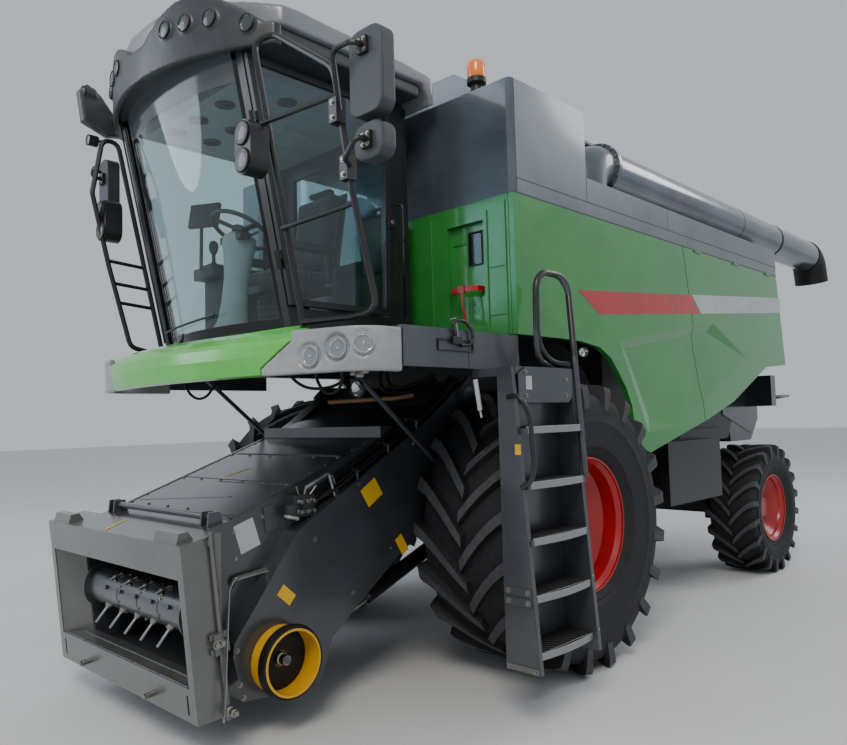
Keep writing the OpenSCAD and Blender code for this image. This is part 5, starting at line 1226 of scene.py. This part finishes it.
bm = bmesh.new()
for x, z in ((-150, 352), (-120, 352)):
    add_bolt(bm, FRAME @ at((x, 858, z), (0, 1, 0)), 14, 0)
for y, profile in ((888, [(0, 0), (21, 0), (21, 14), (13, 18), (13, 30), (0, 32)]),
                   (810, [(0, 48), (26, 48), (26, 56), (18, 62), (0, 62)])):
    add_turned(bm, profile, FRAME @ at((-154, y, 22), (0, 1, 0)), 0, 24)
for y in (-400, 400):
    add_bolt(bm, FRAME @ at((41, y, 62), (1, 0, 0)), 15, 0)
finish_piece(bm, "frame_fasteners", zinc, "feeder", bevel_mm=1)
bm = bmesh.new()
for low, high in (((-190, 832, 300), (-96, 846, 330)), ((-190, 832, 372), (-96, 846, 402)),
                  ((-196, 832, 300), (-182, 846, 402)), ((-152, 846, 160), (-134, 858, 350))):
    add_block(bm, low, high, place=FRAME)
finish_piece(bm, "latch_links", frame_enamel, "feeder", bevel_mm=3)
bm = bmesh.new()
add_strip(bm, [(1978, 866, 858), (2176, 866, 842), (2200, 866, 800), (2226, 866, 330), (2236, 866, 190)],
          (0, 16, 0), 5)
finish_piece(bm, "latch_rod", nosing_aluminium, "feeder", bevel_mm=1.5)
bm = bmesh.new()
for x0, x1 in ((-8, -30), (-76, -130)):
    for k in range(5):
        y0, y1 = -752 + k * 301, -752 + k * 301 + 291
        add_plate(bm, [FRAME @ Vector((x, y, 165.4)) for x, y in ((x0, y0), (x0, y1), (x1, y1), (x1, y0))], (0, 0, 3))
# Bare floor of the feeder's mouth, light partly as worn steel and partly as a painted patch of sunlight, and the bar
# across it
add_plate(bm, [(2190, -600, 297.6), (2190, 600, 297.6), (1625, 600, 359.8), (1625, -600, 359.8)], (0, 0, 3))
add_block(bm, (2205, -600, 316), (2228, 600, 322), 1)
finish_piece(bm, "lip_strips_and_floor_painted_sunlit", [nosing_aluminium, dark_enamel], "feeder", bevel_mm=1)

# Drum: two rows of fingers, their guides, the shell's joints and screws
DRUM = at((2170, 0, 640))
bm = bmesh.new()
for turn_deg, ys in ((138, [k * 190 for k in range(-2, 3)]), (-35, [k * 190 + 95 for k in range(-2, 2)])):
    for y in ys:
        place = DRUM @ at((0, y, 0)) @ turned(turn_deg, "Y")
        add_turned(bm, [(8.3, 108), (8.3, 228.6), (6, 230.5), (0, 231)], place, 0, 16)
        add_turned(bm, [(8.3, 134), (13, 134), (22, 116), (24, 111)], place, 1, 20)
finish_piece(bm, "drum_fingers", [nosing_aluminium, zinc], "drum", smooth=50)
bm = bmesh.new()
for y in (-285, -95, 95, 285):
    guide = DRUM @ at((0, y, 0)) @ turned(38, "Y")
    for lean in (-1, 1):
        add_block(bm, (-46, -6, 116), (46, 6, 126), 0, place=guide @ turned(48 * lean))
    add_turned(bm, [(0, 108), (17, 112), (17, 130), (9, 133), (0, 133)], guide, 0, 18)
along_y = DRUM @ facing((0, 1, 0))
for y in (-190, 60, 300):
    add_turned(bm, [(114, y - 4), (116.4, y - 4), (116.4, y + 4), (114, y + 4)], along_y, 1, 56)
    for turn_deg in (20, 62, 104, 146, 200, 250, 300):
        add_bolt(bm, DRUM @ at((0, y + 16, 0)) @ turned(turn_deg, "Y") @ at((0, 0, 115)), 7, 0)
finish_piece(bm, "drum_guides", [zinc, chassis_paint], "drum", bevel_mm=1)

# ---- Front wheels: washers, hub cap, valve, the disc's ledges and a blank yellow tag ----

for side, mark in ((1, "left"), (-1, "right")):
    bm = bmesh.new()
    outward = at((0, side * RIM_DISC_Y, FRONT_R), (0, side, 0))
    for k in range(12):
        turn = outward @ Matrix.Rotation(FULL_TURN * k / 12, 4, "Z") @ at((200, 0, 0.5))
        add_turned(bm, [(17.5, 0), (25, 0), (25, 4), (17.5, 4)], turn, 0, 20)
    add_turned(bm, [(0, 60.2), (96, 60.2), (96, 66), (60, 78), (0, 80)], outward, 1, 40)
    for ledge_r in (268, 300, 332):
        add_turned(bm, [(ledge_r - 9, 0.2), (ledge_r - 5, 7), (ledge_r + 3, 7), (ledge_r + 9, 0.2)], outward, 1, 96)
    add_block(bm, (-24, 352, 0.5), (24, 384, 3), 3, place=outward @ Matrix.Rotation(side * 0.4, 4, "Z"))
    add_turned(bm, [(0, 0), (9, 0), (9, 20), (6, 24), (6, 44), (0, 46)],
               outward @ Matrix.Rotation(1.1, 4, "Z") @ at((322, 0, 6)), 2, 16)
    finish_piece(bm, f"front_hub_parts_{mark}", [zinc, red_enamel, hose_rubber, label_yellow], f"front_wheel_{mark}",
                 smooth=50)

# ---- Beacon, auger, rear and engine deck ----

bm = bmesh.new()
beacon = at((548, 1160, TANK_Z))
add_turned(bm, [(0, 0), (52, 0), (52, 14), (40, 22), (38, 52), (50, 64), (62, 72), (62, 106), (0, 108)],
           beacon, 0, 40)
add_turned(bm, [(54, 106), (57, 120), (55, 196), (48, 216), (34, 226), (16, 230), (0, 230)], beacon, 1, 40)
for k in range(12):
    add_block(bm, (54, -2, 120), (58.5, 2, 200), 1, place=beacon @ Matrix.Rotation(FULL_TURN * k / 12, 4, "Z"))
beacon_piece = finish_piece(bm, "rotating_beacon", [black_abs, amber_lens], "machine", smooth=40)
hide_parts("beacon")

AUGER = at((0, AUGER_Y, AUGER_Z), (-1, 0, 0))
TUBE_R = AUGER_R + SKIN
bm = bmesh.new()
for k in range(16):
    place = AUGER @ Matrix.Rotation(FULL_TURN * k / 16, 4, "Z") @ at((189, 0, 0))
    add_bolt(bm, place @ at((0, 0, 765.5)), 9, 0)
    add_turned(bm, [(0, 0), (12, 0), (12, -10), (0, -10)], place @ at((0, 0, 735)), 0, 6)
add_turned(bm, [(TUBE_R, 765), (202, 765), (202, 778), (TUBE_R, 778)], AUGER, 1, 64)
finish_piece(bm, "auger_flange", [zinc, grey_enamel], "auger", smooth=40)
bm = bmesh.new()
for start, length, r in ((4200, 38, 178.4), (3170, 6, 176.6), (5442, 10, 183)):
    add_turned(bm, [(TUBE_R, start), (r, start), (r, start + length), (TUBE_R, start + length)], AUGER, 0, 64)
finish_piece(bm, "auger_bands", hose_rubber, "auger")
# Cylinder that swings the auger, and its hoses
bm = bmesh.new()
add_turned(bm, [(0, 0), (46, 0), (46, 60), (30, 70), (0, 70)], at((-620, 1060, 3700), (-1, 0, 0.02)), 0, 24)
add_rod(bm, (-640, 1060, 3712), (-1290, 1052, 3722), 30, 0)
add_rod(bm, (-1290, 1052, 3722), (-1640, 1048, 3728), 14, 1)
for x in (-700, -1250, -1630):
    add_block(bm, (x - 12, 1030, 3676), (x + 12, 1075, 3712), 0)
finish_piece(bm, "swing_cylinder", [chassis_paint, chrome], "machine", bevel_mm=2, smooth=45)
for number, dy in enumerate((0, 22, 44)):
    tube(f"swing_hose_{number}", [(-420, 985 + dy, 3680), (-560, 985 + dy, 3790 - number * 14),
                                  (-760, 990 + dy, 3786), (-900, 1000 + dy, 3700)], 11, hose_rubber, "machine",
         90)

# Rear lamps and a blank number plate
bm = bmesh.new()
for side in (-1, 1):
    for z, index in ((1925, 1), (1837, 2), (1752, 1)):
        place = at((HOOD_REAR_X - SKIN, side * 860, z), (-1, 0, 0))
        add_turned(bm, [(0, 0), (36, 0), (36, 8), (26, 15), (0, 18)], place, index, 32)
        add_turned(bm, [(36, 0), (41, 0), (41, 6), (36, 8)], place, 0, 32)
add_block(bm, (-5152, -60, 1720), (-5148, 460, 1830), 3)
finish_piece(bm, "rear_lamps", [black_abs, red_lens, amber_lens, label_white], "machine", smooth=50)

# Air intake mesh over the engine, its frame and the deck's grab rails
bm = bmesh.new()
add_lattice(bm, 1160, 1240, 46, 7, at((-3060, 0, 3426)))
finish_piece(bm, "intake_mesh", chassis_paint, "machine", smooth=20)
bm = bmesh.new()
add_border(bm, (-3660, -640, 3420), (-2460, 640, 3440), 28, 0, 1)
finish_piece(bm, "intake_frame", dark_enamel, "machine", bevel_mm=5)
for side, mark in ((1, "left"), (-1, "right")):
    tube(f"deck_rail_{mark}", [(-2420, side * 940, LEDGE_Z + 1), (-2420, side * 940, 3560), (-3640, side * 940, 3560),
                               (-3640, side * 940, LEDGE_Z + 1)], 15, powder_coat, "machine", 70)
bm = bmesh.new()
add_turned(bm, [(0, 0), (78, 0), (78, 20), (62, 30), (62, 250), (70, 256), (70, 262), (56, 262), (56, 40), (0, 38)],
           at((-2520, -800, LEDGE_Z + 1)), 0, 36)
finish_piece(bm, "exhaust_stack", galvanised, "machine", smooth=40)

# Mirrors: glass, brackets and their bolts
MIRRORS = ((1860, 1655, 3185, 220, 400, 115), (1850, 1655, 2865, 190, 170, 0), (1895, -1085, 3300, 150, 380, 50))
for number, (x, y, z, w, h, arm_rise) in enumerate(MIRRORS):
    bm = bmesh.new()
    bmesh.ops.create_cube(bm, size=1.0, matrix=Matrix.Diagonal((w - 34, h - 34, 3, 1.0)))
    upright = [e for e in bm.edges if abs(e.verts[0].co.z - e.verts[1].co.z) > 1]
    bmesh.ops.bevel(bm, geom=upright, offset=36, affect="EDGES", segments=6, profile=0.5, material=-1)
    bm.transform(at((x + 7, y, z)) @ turned(90, "X") @ turned(90, "Y"))
    finish_piece(bm, f"mirror_pane_{number}", mirror_glass, "machine", smooth=40)
    bm = bmesh.new()
    arm_z = z + arm_rise
    add_block(bm, (x + 86, y - 30, arm_z - 38), (x + 106, y + 30, arm_z + 38), 0)
    for dy in (-16, 16):
        for dz in (-24, 24):
            add_bolt(bm, at((x + 106, y + dy, arm_z + dz), (1, 0, 0)), 7, 1)
    finish_piece(bm, f"mirror_bracket_{number}", [black_abs, zinc], "machine", bevel_mm=3)
bm = bmesh.new()
for z in (3060, 2800):
    for dz in (-36, 36):
        add_bolt(bm, at((1910 + (z - 2780) * 0.225, 1450, z + dz), (1, 0, 0)), 9)
finish_piece(bm, "clamp_bolts", zinc, "machine")

# ---- Floor and light ----

floor_mesh = bmesh.new()
bmesh.ops.create_grid(floor_mesh, x_segments=1, y_segments=1, size=60.0)
floor_data = bpy.data.meshes.new("floor")
floor_mesh.to_mesh(floor_data)
floor_mesh.free()
floor = linked("floor", floor_data)
floor_material, tree, place = start_material("pale_studio_floor")
shade = noise(tree, place, 900, 3.0)
close_material(tree, add(tree, "BsdfPrincipled", {
    "Base Color": tinted(tree, shade, "#cfd1d2", "#dcdedf"), "Roughness": 0.75}))
floor_data.materials.append(floor_material)

world = bpy.data.worlds.new("studio")
bpy.context.scene.world = world
world.use_nodes = True
background = world.node_tree.nodes["Background"]
background.inputs["Color"].default_value = linear("#dfe6ee")
background.inputs["Strength"].default_value = 0.75


def soft_light(name, place, target, size, power, tone):
    data = bpy.data.lights.new(name, "AREA")
    data.shape = "DISK"
    data.size = size
    data.energy = power
    data.color = linear(tone)[:3]
    light = linked(name, data)
    light.location = place
    light.rotation_euler = (Vector(target) - Vector(place)).to_track_quat("-Z", "Y").to_euler()


soft_light("key_light", (11.0, 7.0, 12.0), (0, 0, 1.6), 6.0, 1150, "#fff6ea")
soft_light("fill_light", (12.0, -9.0, 7.0), (1, 0, 1.5), 7.0, 420, "#eaf2ff")
soft_light("back_light", (-10.0, 6.0, 10.0), (-1, 0, 2.0), 6.0, 450, "#ffffff")
